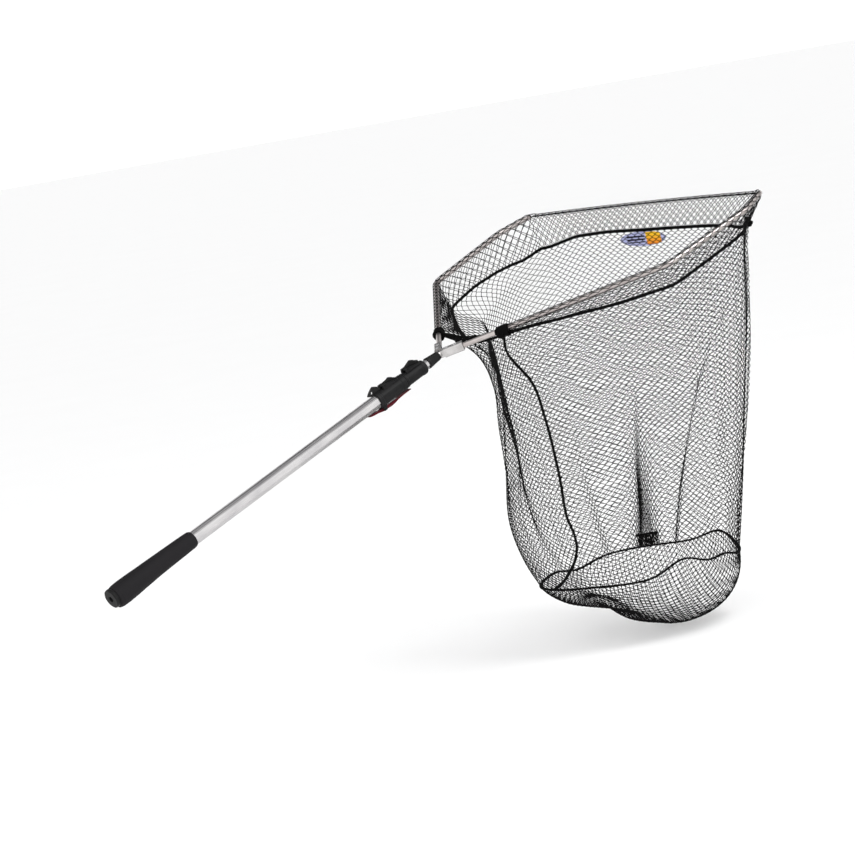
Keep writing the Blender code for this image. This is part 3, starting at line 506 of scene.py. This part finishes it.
def halves():
    """The columns of the near half and of the far half of the bag."""
    index = np.arange(COLUMNS)
    near = (index < FRONT_MIDDLE / LENGTH * COLUMNS) | (index >= RIM_MIDDLE / LENGTH * COLUMNS)
    return {"near": np.nonzero(near)[0], "far": np.nonzero(~near)[0]}


def bend_with_arm(obj):
    """Bakes the piece's placement into its mesh."""
    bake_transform(obj)


# ---- bottom of the bag --------------------------------------------------------------------
BOTTOM_LOW = (0.440, -0.020, -0.615)     # its lowest point, from the fork's centre
BOTTOM_ROUND = (2.2, 1.35)               # roundness of its profile towards the front, and the fork
BOTTOM_DENT = (142, 0.58, 0.15, 0.024)   # a shallow fold: its direction, share, spread and lift
BOTTOM_TURN = radians(12)                # the turn of its meshes
BOTTOM_COUNT = 56                        # meshes from its middle to the edge of the cut piece
BOTTOM_REACH = 0.36                      # radius of the cut piece


def bottom_point(share, angle):
    """A point of the sagging bottom: share runs from 0 at its lowest point to 1 at the ring."""
    rim = ring_points(angle, -0.001)
    low = FORK + np.array(BOTTOM_LOW)
    front = (1 + np.cos(angle + radians(25))) / 2
    power = BOTTOM_ROUND[1] + (BOTTOM_ROUND[0] - BOTTOM_ROUND[1]) * ease(front)
    flat = low + (rim - low) * share[..., None]
    height = (1 - np.clip(share, 0, 1) ** power) ** (1 / power)
    flat[..., 2] = rim[..., 2] + (low[2] - rim[..., 2]) * height
    side_on = np.exp(3.0 * (np.cos(angle - radians(BOTTOM_DENT[0])) - 1))
    flat[..., 2] += BOTTOM_DENT[3] * side_on * bump(share, BOTTOM_DENT[1], BOTTOM_DENT[2])
    return flat


def bottom_map(x, y):
    """Lays a flat net on the bottom: lengths from the middle stay true along every direction."""
    angle = np.arctan2(y, x)
    reach = np.hypot(x, y)
    shares = 1 - (1 - np.linspace(0, 1, 60)) ** 1.6
    turn = np.linspace(-pi, pi, 181)
    grid = bottom_point(np.broadcast_to(shares, (181, 60)), np.broadcast_to(turn[:, None], (181, 60)))
    steps = np.linalg.norm(np.diff(grid, axis=1), axis=2)
    arcs = np.concatenate((np.zeros((181, 1)), np.cumsum(steps, axis=1)), axis=1)
    where = (angle + pi) / (2 * pi) * 180
    low = np.clip(where.astype(int), 0, 179)
    mix = where - low
    share = np.empty_like(reach)
    for index in range(len(reach)):
        row = arcs[low[index]] * (1 - mix[index]) + arcs[low[index] + 1] * mix[index]
        share[index] = np.interp(reach[index], row, shares, right=1.001)
    return bottom_point(np.minimum(share, 1.0), angle), share <= 1.0


def bottom_netting(side):
    """Diamond net on one half of the bottom, cut at the ring: side is -1 for near, 1 for far."""
    half_w, half_h = BOTTOM_MESH[0] / 2, BOTTOM_MESH[1] / 2
    count = BOTTOM_COUNT
    grid = np.arange(-count, count + 1)
    i, j = np.meshgrid(grid, grid, indexing="ij")
    x = (i + j) * half_w
    y = (i - j) * half_h
    xs = x * cos(BOTTOM_TURN) - y * sin(BOTTOM_TURN)
    ys = x * sin(BOTTOM_TURN) + y * cos(BOTTOM_TURN)
    inside = np.hypot(xs, ys) < BOTTOM_REACH
    place = np.zeros((*i.shape, 3))
    kept = np.zeros(i.shape, bool)
    spots, held = bottom_map(xs[inside], ys[inside])
    place[inside], kept[inside] = spots, held
    parts = []
    ahead, behind = range(2 * count), range(1, 2 * count + 1)
    for axis in (0, 1):
        head, tail = np.take(place, ahead, axis=axis), np.take(place, behind, axis=axis)
        use = np.take(kept, ahead, axis=axis) | np.take(kept, behind, axis=axis)
        use &= np.take(inside, ahead, axis=axis) & np.take(inside, behind, axis=axis)
        use &= np.linalg.norm(tail - head, axis=-1) > 1e-5
        use &= (head[..., 1] + tail[..., 1]) * side > 0
        first, last = head[use], tail[use]
        shares = np.array((0.0, 0.14, 0.86, 1.0))
        paths = first[:, None, :] + (last - first)[:, None, :] * shares[None, :, None]
        normals = np.broadcast_to(UP, paths.shape)
        radius = np.array((1.7, 1.0, 1.0, 1.7)) * STRAND
        parts.append(tubes(paths, normals + 0.01, radius))
    return joined(parts)


# ---- braids and cords ---------------------------------------------------------------------
def even_path(points, spacing, closed=False):
    """The same path with evenly spaced points."""
    if closed:
        points = np.concatenate((points, points[:1]))
    reach = np.concatenate(((0.0,), np.cumsum(np.linalg.norm(np.diff(points, axis=0), axis=1))))
    count = max(4, int(reach[-1] / spacing))
    places = np.linspace(0, reach[-1], count, endpoint=not closed)
    return np.stack([np.interp(places, reach, points[:, k]) for k in range(3)], axis=1)


def braid(points, facing, width=BRAID_WIDTH, pitch=BRAID_PITCH):
    """Three strands plaited along a path: facing is the direction that its flat side looks."""
    path = even_path(points, pitch / 9)
    along = unit(np.gradient(path, axis=0))
    across = unit(np.cross(along, facing))
    over = np.cross(across, along)
    places = np.arange(len(path)) * pitch / 9
    paths = []
    for strand in range(3):
        phase = 2 * pi * (places / pitch + strand / 3)
        aside = 0.30 * width * np.sin(phase)
        lift = 0.13 * width * np.sin(2 * phase)
        paths.append(path + across * aside[:, None] + over * lift[:, None])
    paths = np.array(paths)
    normals = np.broadcast_to(over, paths.shape)
    return tubes(paths, normals, 0.235 * width, sides=6)


def whipping(centre, along, radius, length, cord, turns):
    """Cord wound round something, as a helix."""
    along = unit(np.asarray(along, float))
    aside = unit(np.cross(along, (0.3, 0.9, 0.31)))
    across = np.cross(along, aside)
    steps = int(turns * 14)
    t = np.linspace(0, 1, steps)
    turn = 2 * pi * turns * t
    uneven = radius * (1 + 0.06 * np.sin(3.1 * turn) + 0.04 * np.sin(7.7 * turn))
    points = (np.asarray(centre) + along * ((t - 0.5) * length)[:, None]
              + aside * (uneven * np.cos(turn))[:, None] + across * (uneven * np.sin(turn))[:, None])
    return tubes(points[None], np.broadcast_to(along, points.shape)[None], cord, sides=6)


# ---- materials ----------------------------------------------------------------------------
class Finish:
    """A node-based material, with short calls for the nodes it needs."""

    def __init__(self, name, roughness=0.5, metallic=0.0):
        self.material = bpy.data.materials.new(name)
        self.material.use_nodes = True
        self.tree = self.material.node_tree
        self.shader = self.tree.nodes["Principled BSDF"]
        self.set("Roughness", roughness)
        self.set("Metallic", metallic)

    def set(self, socket, value):
        """A plain value on one of the shader's sockets."""
        self.shader.inputs[socket].default_value = value

    def node(self, kind, **settings):
        """A new node with these settings."""
        made = self.tree.nodes.new(kind)
        for key, value in settings.items():
            setattr(made, key, value)
        return made

    def link(self, source, target):
        self.tree.links.new(source, target)

    def coordinates(self, stretch=(1, 1, 1), turn=0.0):
        """Object coordinates, turned about Y and stretched."""
        place = self.node("ShaderNodeTexCoord")
        mapping = self.node("ShaderNodeMapping", vector_type="TEXTURE")
        mapping.inputs["Rotation"].default_value = (0, turn, 0)
        scale = self.node("ShaderNodeVectorMath", operation="MULTIPLY")
        scale.inputs[1].default_value = stretch
        self.link(place.outputs["Object"], mapping.inputs["Vector"])
        self.link(mapping.outputs["Vector"], scale.inputs[0])
        return scale.outputs["Vector"]

    def noise(self, coordinates, scale, detail=3.0, rough=0.5):
        """A noise pattern's factor."""
        made = self.node("ShaderNodeTexNoise")
        made.inputs["Scale"].default_value = scale
        made.inputs["Detail"].default_value = detail
        made.inputs["Roughness"].default_value = rough
        self.link(coordinates, made.inputs["Vector"])
        return made.outputs["Fac"]

    def ramp(self, factor, stops):
        """A colour for each value of the factor, from (place, colour) stops."""
        made = self.node("ShaderNodeValToRGB")
        elements = made.color_ramp.elements
        while len(elements) < len(stops):
            elements.new(0.5)
        for element, (place, colour) in zip(elements, stops):
            element.position = place
            element.color = (*colour, 1.0)
        self.link(factor, made.inputs["Fac"])
        return made.outputs["Color"]

    def spread(self, factor, low, high):
        """The factor mapped to a range."""
        made = self.node("ShaderNodeMapRange")
        made.inputs["From Min"].default_value = 0.3
        made.inputs["From Max"].default_value = 0.7
        made.inputs["To Min"].default_value = low
        made.inputs["To Max"].default_value = high
        self.link(factor, made.inputs["Value"])
        return made.outputs["Result"]

    def colour(self, factor, dark, light):
        """Base colour between two shades."""
        self.link(self.ramp(factor, ((0.3, dark), (0.7, light))), self.shader.inputs["Base Color"])

    def rough(self, factor, low, high):
        """Roughness between two values."""
        self.link(self.spread(factor, low, high), self.shader.inputs["Roughness"])

    def bump(self, factor, distance, strength=1.0):
        """A fine relief."""
        made = self.node("ShaderNodeBump")
        made.inputs["Distance"].default_value = distance
        made.inputs["Strength"].default_value = strength
        self.link(factor, made.inputs["Height"])
        self.link(made.outputs["Normal"], self.shader.inputs["Normal"])


HANDLE_TURN = float(np.arctan2(AXIS[2], AXIS[0]))


def aluminium(name, dark, light, roughness):
    """Drawn aluminium: fine lines along the tube, with a slightly uneven dull coat."""
    made = Finish(name, roughness, 1.0)
    lines = made.noise(made.coordinates((6, 900, 900), -HANDLE_TURN), 1.0, 2.0)
    cloud = made.noise(made.coordinates((20, 60, 60), -HANDLE_TURN), 1.0, 4.0)
    made.colour(cloud, dark, light)
    made.rough(lines, roughness * 0.8, roughness * 1.25)
    made.bump(lines, 0.00004, 0.5)
    return made.material


def bare_metal(name, roughness, dark, light):
    """Bare aluminium of the bent arms and of the fork's cast and pressed parts."""
    made = Finish(name, roughness, 1.0)
    grain = made.noise(made.coordinates(), 700.0, 3.0)
    cloud = made.noise(made.coordinates(), 45.0, 4.0)
    made.colour(cloud, dark, light)
    made.rough(grain, roughness * 0.85, roughness * 1.2)
    made.bump(grain, 0.00003, 0.5)
    return made.material


def steel():
    """Plated steel of the rivets and of the leaf spring."""
    made = Finish("plated_steel", 0.3, 1.0)
    grain = made.noise(made.coordinates(), 500.0, 3.0)
    made.colour(grain, (0.42, 0.42, 0.43), (0.62, 0.62, 0.62))
    made.rough(grain, 0.22, 0.38)
    return made.material


def foam():
    """Closed-cell foam grip: matte, with fine pores and rubbed patches."""
    made = Finish("grip_foam", 0.8)
    pores = made.noise(made.coordinates(), 1500.0, 3.0, 0.6)
    worn = made.noise(made.coordinates(), 30.0, 5.0, 0.6)
    made.colour(worn, (0.0060, 0.0055, 0.0066), (0.0120, 0.0110, 0.0125))
    made.rough(worn, 0.62, 0.85)
    made.bump(pores, 0.00018, 0.55)
    made.set("Specular IOR Level", 0.16)
    return made.material


def plastic(name, dark, light, low, high):
    """Moulded plastic with a fine spark-eroded grain and soft colour drift."""
    made = Finish(name, low)
    grain = made.noise(made.coordinates(), 1800.0, 2.0)
    cloud = made.noise(made.coordinates(), 60.0, 4.0, 0.6)
    made.colour(cloud, dark, light)
    made.rough(cloud, low, high)
    made.bump(grain, 0.00005, 0.4)
    made.set("Specular IOR Level", 0.11)
    return made.material


def twine(name, dark, light, pitch):
    """Twisted polyester twine: fine slanting fibres, dull."""
    made = Finish(name, 0.72)
    fibres = made.noise(made.coordinates((1.0, 1.0, 2.2)), pitch, 3.0, 0.6)
    made.colour(fibres, dark, light)
    made.rough(fibres, 0.64, 0.85)
    made.bump(fibres, 0.00012, 0.6)
    made.set("Specular IOR Level", 0.04)
    return made.material


def label_finish():
    """Woven label: pale ground, dark bars on one side and an orange field on the other."""
    made = Finish("woven_label", 0.7)
    place = made.node("ShaderNodeTexCoord")
    split = made.node("ShaderNodeSeparateXYZ")
    made.link(place.outputs["Generated"], split.inputs[0])
    across, height = split.outputs["Y"], split.outputs["Z"]
    weave = made.noise(place.outputs["Object"], 900.0, 2.0)
    ground = made.ramp(weave, ((0.3, (0.36, 0.38, 0.66)), (0.7, (0.52, 0.54, 0.80))))
    bars = made.node("ShaderNodeMath", operation="SINE")
    times = made.node("ShaderNodeMath", operation="MULTIPLY")
    times.inputs[1].default_value = 31.0
    made.link(height, times.inputs[0])
    made.link(times.outputs[0], bars.inputs[0])
    bar = made.node("ShaderNodeMath", operation="GREATER_THAN")
    bar.inputs[1].default_value = -0.25
    made.link(bars.outputs[0], bar.inputs[0])
    inside = window(made, across, 0.46, 0.86)
    level = window(made, height, 0.24, 0.80)
    mask = product(made, product(made, bar.outputs[0], inside), level)
    orange = made.ramp(height, ((0.25, (0.88, 0.27, 0.003)), (0.75, (0.96, 0.56, 0.006))))
    barred = mixed(made, mask, ground, (0.01, 0.01, 0.03, 1.0))
    field = product(made, window(made, across, 0.10, 0.43), window(made, height, 0.08, 0.92))
    made.link(mixed(made, field, barred, orange), made.shader.inputs["Base Color"])
    made.bump(made.noise(place.outputs["Object"], 1500.0, 2.0), 0.0001, 0.6)
    return made.material


def window(made, value, low, high):
    """One where the value is between two limits."""
    above = made.node("ShaderNodeMath", operation="GREATER_THAN")
    above.inputs[1].default_value = low
    below = made.node("ShaderNodeMath", operation="LESS_THAN")
    below.inputs[1].default_value = high
    made.link(value, above.inputs[0])
    made.link(value, below.inputs[0])
    return product(made, above.outputs[0], below.outputs[0])


def product(made, first, second):
    """Two factors multiplied."""
    both = made.node("ShaderNodeMath", operation="MULTIPLY")
    made.link(first, both.inputs[0])
    made.link(second, both.inputs[1])
    return both.outputs[0]


def mixed(made, factor, first, second):
    """The first colour where the factor is 0 and the second where it is 1."""
    blend_node = made.node("ShaderNodeMix", data_type="RGBA")
    made.link(factor, blend_node.inputs["Factor"])
    for socket, value in ((6, first), (7, second)):
        if isinstance(value, tuple):
            blend_node.inputs[socket].default_value = value
        else:
            made.link(value, blend_node.inputs[socket])
    return blend_node.outputs[2]


# ---- pieces -------------------------------------------------------------------------------
def net_pieces(finish):
    """The hem and the walls, each half in bands, and the bottom."""
    nodes, around, down = net_nodes()
    hem_rows = 2 * HEM_ROWS
    total = hem_rows + WALL_ROWS
    first_band, second_band = hem_rows + WALL_BANDS[0], hem_rows + WALL_BANDS[1]
    bands = {"hem": (0, hem_rows), "wall_top": (hem_rows, first_band),
             "wall_middle": (first_band, second_band), "wall_foot": (second_band, total)}
    for prefix, columns in halves().items():
        for band, (first, last) in bands.items():
            rows = range(first, last + 1)
            piece = netting(prefix + "_net_" + band, nodes, around, down, rows, columns, finish)
            bend_with_arm(piece)
            if band == "hem":
                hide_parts(prefix + "_sleeve", "front_sleeve")
            if band == "wall_top":
                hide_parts(prefix + "_side_net", "front_net", "fork_net")
    for prefix, side in (("near", -1), ("far", 1)):
        verts, faces = bottom_netting(side)
        piece = mesh_object(prefix + "_net_bottom", verts, faces, finish)
        bend_with_arm(piece)
        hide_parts("bottom_net")


def cord_half(name, prefix, points, facing, finish, **sizes):
    """A braid on one half of the bag."""
    verts, faces = braid(points, facing, **sizes)
    piece = mesh_object(name, verts, faces, finish)
    bend_with_arm(piece)
    return piece


def hem_braids(finish):
    """The braid along the lower edge of the hem, from the rim's middle to the front's middle."""
    near_rim = RIM_MIDDLE - LENGTH
    spans = {"near": (near_rim, FRONT_MIDDLE), "far": (FRONT_MIDDLE, RIM_MIDDLE)}
    rims = {"near": (near_rim, 0.0), "far": (FAR_CUFF_PLACE, RIM_MIDDLE)}
    for prefix in ("near", "far"):
        points = braid_line(np.linspace(*spans[prefix], 900))
        cord_half(prefix + "_hem_braid", prefix, points, side_facing(points), finish)
        fold = hem_point(np.linspace(*rims[prefix], 200), 0.0)
        cord_half(prefix + "_rim_cord", prefix, fold, UP, finish, width=0.0046, pitch=0.0095)


def side_facing(points):
    """The direction away from the bag's middle line."""
    outward = points - np.array((FORK[0] + 0.33, 0.0, 0.0))
    outward[:, 2] = 0
    return unit(np.median(outward, axis=0)[None])


def ring_braids(finish):
    """The braid round the foot of the walls."""
    for prefix, turns in (("near", (-pi, 0.0)), ("far", (0.0, pi))):
        points = ring_points(np.linspace(turns[0], turns[1], 500))
        piece = cord_half(prefix + "_ring_braid", prefix, points, UP, finish)
        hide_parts("ring_cord")


def seam_braid(finish):
    """The braided seam from the near cuff down to the ring, where it turns across the fork's wall."""
    share = np.linspace(0, 1, 300)
    places = LENGTH + 0.002 - follow(SEAM_SWING, share)
    points = fall(places, 0.02 + 0.98 * share)
    piece = cord_half("near_seam_braid", "near", points, np.array((-1.0, 0.0, 0.0)), finish)
    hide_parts("near_seam_cord")


def bunch(centre, along, size, cord, loops, seed):
    """An untidy knot of cord: loops of different size and tilt about one place."""
    rng = np.random.default_rng(seed)
    parts = []
    for loop in range(loops):
        tilt = rng.normal(0, 0.35, 3)
        place = np.asarray(centre) + np.asarray(along) * rng.uniform(-0.5, 0.5) * size
        place = place + rng.normal(0, 0.0012, 3)
        radius = size * rng.uniform(0.38, 0.52)
        parts.append(whipping(place, np.asarray(along) + tilt, radius, size * 0.30, cord, 2.2))
    return parts


def mouth_knots(finish):
    """The gathered ends of the sleeves at the cuffs, and the knot under the near tip."""
    for prefix, side in (("near", -1), ("far", 1)):
        along = AXIS * cos(ARM_ANGLE) + SIDE * (side * sin(ARM_ANGLE))
        centre = FORK + along * (CUFF + 0.002)
        parts = [whipping(centre, along, 0.0078, 0.0180, 0.0014, 8.0)]
        parts += bunch(centre - UP * 0.0025, along, 0.0190, 0.0015, 7, 11 + side)
        verts, faces = joined(parts)
        piece = mesh_object(prefix + "_cuff_cord", verts, faces, finish)
        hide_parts(prefix + "_cuff")
        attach(piece, prefix + "_arm")
    knot = braid_line(np.array([TIP_PLACE]))[0] + UP * 0.004
    verts, faces = joined(bunch(knot, UP, 0.0130, 0.0014, 6, 5))
    piece = mesh_object("near_tip_knot", verts, faces, finish)
    bend_with_arm(piece)


def front_cord(finish):
    """The cord between the two tips, inside the hem."""
    for prefix, ends in (("near", (-1.0, 0.0)), ("far", (0.0, 1.0))):
        t = np.linspace(ends[0], ends[1], 200)
        reach = TIP[1] - 0.0067
        points = np.array([on_hoop(TIP[0] + FRONT_BOW * (1 - k * k), k * reach) for k in t])
        verts, faces = braid(points, NORMAL, width=0.0038, pitch=0.0120)
        piece = mesh_object(prefix + "_front_line", verts, faces, finish)
        bend_with_arm(piece)
        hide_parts("front_line")


def label_point(radius, angle, lift=0.0):
    """A point of the label, laid on the outside of the front wall."""
    places = LABEL_PLACE + LABEL_HALF[0] * radius * np.cos(angle)
    drop = LABEL_DROP - LABEL_HALF[1] * radius * np.sin(angle)
    depth = at(LINE, places)[..., 2] - at(FOOT, places)[..., 2]
    return fall(places, drop / depth) + at(SOFT_OUTWARD, places) * (LABEL_CLEAR + lift)


def label_piece(finish):
    """Oval woven label on the outside of the front wall."""
    rings, count, thickness = 10, 72, 0.0007
    angle = np.arange(count) * 2 * pi / count
    verts = [label_point(ring / rings, angle, lift) for lift in (0.0, thickness) for ring in range(rings + 1)]
    grid = np.arange(2 * (rings + 1) * count).reshape(2, rings + 1, count)
    pairs = [(grid[0, ring + 1], grid[0, ring]) for ring in range(rings)]
    pairs += [(grid[1, ring], grid[1, ring + 1]) for ring in range(rings)]
    pairs.append((grid[1, -1], grid[0, -1]))
    faces = [np.stack((a, np.roll(a, -1), np.roll(b, -1), b), axis=1) for a, b in pairs]
    piece = mesh_object("label_oval", np.concatenate(verts), np.concatenate(faces), finish)
    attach(piece, "head")
    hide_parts("label")


def label_stitches(finish):
    """Whip stitches round the label's edge."""
    parts = []
    share = np.linspace(0, 1, 5)
    for turn in np.arange(60) * 2 * pi / 60:
        points = label_point(0.94 + 0.08 * share, np.full(5, turn), 0.0)
        points = points - np.array((0.0005, 0.0, 0.0)) * np.sin(pi * share)[:, None]
        normals = np.broadcast_to(np.array((1.0, 0.0, 0.0)), points.shape)
        parts.append(tubes(points[None], normals[None], 0.00028))
    verts, faces = joined(parts)
    piece = mesh_object("label_stitching", verts, faces, finish)
    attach(piece, "head")


def gather_patch(finish):
    """The bunched netting on the far side of the ring, whipped down with cord."""
    parts = []
    rng = np.random.default_rng(4)
    middle = at(ANGLES, np.array([GATHER[1]]))[0]
    t = np.linspace(0, 1, 7)
    for lean in (-0.055, 0.055):
        for k in range(12):
            start = middle + (k / 11 - 0.5) * 0.20 + rng.normal(0, 0.004)
            angle = start + lean * (t - 0.5) + 0.006 * np.sin(9 * t + k)
            away = np.stack((np.cos(angle), np.sin(angle), np.zeros_like(angle)), axis=1)
            points = ring_points(angle, 0.0) + UP * (0.024 * t)[:, None]
            points = points + away * (0.0008 * np.sin(7 * t + 2 * k) + 12 * lean * 0.001)[:, None]
            parts.append(tubes(points[None], away[None], 0.0009))
    angle = middle + np.linspace(-0.115, 0.115, 60)
    away = np.stack((np.cos(angle), np.sin(angle), np.zeros_like(angle)), axis=1)
    parts.append(braid(ring_points(angle, 0.0245), away[30], width=0.0048, pitch=0.009))
    verts, faces = joined(parts)
    piece = mesh_object("ring_gather", verts, faces, finish)
    bend_with_arm(piece)


# ---- finishes of the CAD nodes ------------------------------------------------------------
def finish_nodes():
    """Assigns a material to every CAD node that stays."""
    black = plastic("moulded_black", (0.0060, 0.0060, 0.0064), (0.0130, 0.0128, 0.0132), 0.34, 0.50)
    dull = plastic("dull_black", (0.0040, 0.0040, 0.0040), (0.0090, 0.0090, 0.0090), 0.48, 0.62)
    red = plastic("moulded_red", (0.052, 0.0018, 0.0050), (0.085, 0.0035, 0.0090), 0.38, 0.52)
    tube = aluminium("drawn_aluminium", (0.46, 0.45, 0.46), (0.58, 0.57, 0.57), 0.24)
    bare = bare_metal("bare_aluminium", 0.26, (0.40, 0.385, 0.38), (0.60, 0.585, 0.58))
    pin = steel()
    arm = bare_metal("dull_arm_tube", 0.30, (0.40, 0.36, 0.35), (0.54, 0.50, 0.485))
    groups = ((foam(), ("grip",)),
              (black, ("butt_cap", "lower_collar", "upper_collar", "line_hook", "head_sleeve")),
              (dull, ("lower_lock_lever", "upper_lock_lever", "middle_tail_bush", "inner_tail_bush",
                      "near_arm_fitting", "far_arm_fitting", "near_tip_cap", "far_tip_cap",
                      "lower_lever_pin", "upper_lever_pin", "release_pin")),
              (red, ("release_lever",)), (tube, ("outer_tube", "middle_tube", "inner_tube")),
              (bare, ("fork_head", "near_bracket", "far_bracket")),
              (arm, ("near_arm_tube", "far_arm_tube")),
              (pin, ("release_spring", "near_bracket_rivet", "far_bracket_rivet", "near_pivot_rivet",
                     "far_pivot_rivet")))
    for finish, names in groups:
        for name in names:
            mesh = frame["nodes"][name].data
            mesh.materials.clear()
            mesh.materials.append(finish)


# ---- studio -------------------------------------------------------------------------------
VIEW_AZIMUTH, VIEW_ELEVATION, VIEW_ROLL = radians(-38.0), radians(7.09), radians(-10.0)
VIEW_TARGET = Vector((0.631, 0.0, 0.1065))
VIEW_DISTANCE = 5.25
VIEW_LENS = 122.0
SKY_STRENGTH = 1.34
DARK_ZONE = (0.297, 0.497, 0.812)        # direction of the studio's dark overhead zone


def camera():
    """A long lens at the viewing angle, rolled so that the handle slopes up to the right."""
    data = bpy.data.cameras.new("camera")
    data.lens = VIEW_LENS
    data.sensor_width = 36.0
    obj = bpy.data.objects.new("camera", data)
    bpy.context.scene.collection.objects.link(obj)
    back = Vector((sin(VIEW_AZIMUTH) * cos(VIEW_ELEVATION), -cos(VIEW_AZIMUTH) * cos(VIEW_ELEVATION),
                   sin(VIEW_ELEVATION)))
    obj.rotation_mode = "QUATERNION"
    turned = (-back).to_track_quat("-Z", "Y").to_matrix() @ Matrix.Rotation(VIEW_ROLL, 3, "Z")
    obj.rotation_quaternion = turned.to_quaternion()
    obj.location = VIEW_TARGET + back * VIEW_DISTANCE
    bpy.context.scene.camera = obj


def floor():
    """A wide pale floor just under the bag."""
    bpy.ops.mesh.primitive_circle_add(vertices=96, radius=60.0, fill_type="NGON",
                                      location=(0.4, 0.0, cad_box[0][2] - 0.02))
    obj = bpy.context.object
    obj.name = "floor"
    made = Finish("pale_floor", 0.9)
    made.colour(made.noise(made.coordinates(), 3.0, 2.0), (0.955, 0.955, 0.955), (0.965, 0.965, 0.965))
    made.set("Specular IOR Level", 0.1)
    obj.data.materials.append(made.material)


def area_light(name, place, target, size, power):
    """A soft panel that looks at the target."""
    data = bpy.data.lights.new(name, "AREA")
    data.shape = "RECTANGLE"
    data.size, data.size_y = size
    data.energy = power
    obj = bpy.data.objects.new(name, data)
    bpy.context.scene.collection.objects.link(obj)
    obj.location = place
    obj.rotation_mode = "QUATERNION"
    obj.rotation_quaternion = (Vector(target) - Vector(place)).to_track_quat("-Z", "Y")


def lights():
    """Soft studio light: a bright surround with one dark zone overhead, and two large panels."""
    world = bpy.data.worlds.new("studio")
    world.use_nodes = True
    bpy.context.scene.world = world
    tree = world.node_tree
    background = tree.nodes["Background"]
    background.inputs["Strength"].default_value = SKY_STRENGTH
    place = tree.nodes.new("ShaderNodeTexCoord")
    towards = tree.nodes.new("ShaderNodeVectorMath")
    towards.operation = "DOT_PRODUCT"
    towards.inputs[1].default_value = DARK_ZONE
    shade = tree.nodes.new("ShaderNodeValToRGB")
    bright, dark = shade.color_ramp.elements
    bright.position, bright.color = 0.72, (1.0, 1.0, 1.0, 1.0)
    dark.position, dark.color = 0.92, (0.05, 0.05, 0.055, 1.0)
    tree.links.new(place.outputs["Generated"], towards.inputs[0])
    tree.links.new(towards.outputs["Value"], shade.inputs["Fac"])
    tree.links.new(shade.outputs["Color"], background.inputs["Color"])
    middle = (0.6, 0.0, 0.0)
    area_light("overhead", (1.6, -2.4, 2.8), middle, (1.6, 1.6), 45)
    area_light("side", (-1.6, -3.0, 1.6), middle, (1.5, 1.5), 18)


# ---- build --------------------------------------------------------------------------------
bpy.context.scene.view_settings.view_transform = "Standard"
camera()
net_finish = twine("net_twine", (0.0025, 0.0024, 0.0026), (0.0075, 0.0070, 0.0074), 1400.0)
cord_finish = twine("cord_braid", (0.0015, 0.0015, 0.0015), (0.0050, 0.0050, 0.0050), 1600.0)
net_pieces(net_finish)
hem_braids(cord_finish)
ring_braids(cord_finish)
seam_braid(cord_finish)
mouth_knots(cord_finish)
front_cord(cord_finish)
gather_patch(cord_finish)
label_piece(label_finish())
label_stitches(cord_finish)
finish_nodes()
floor()
lights()
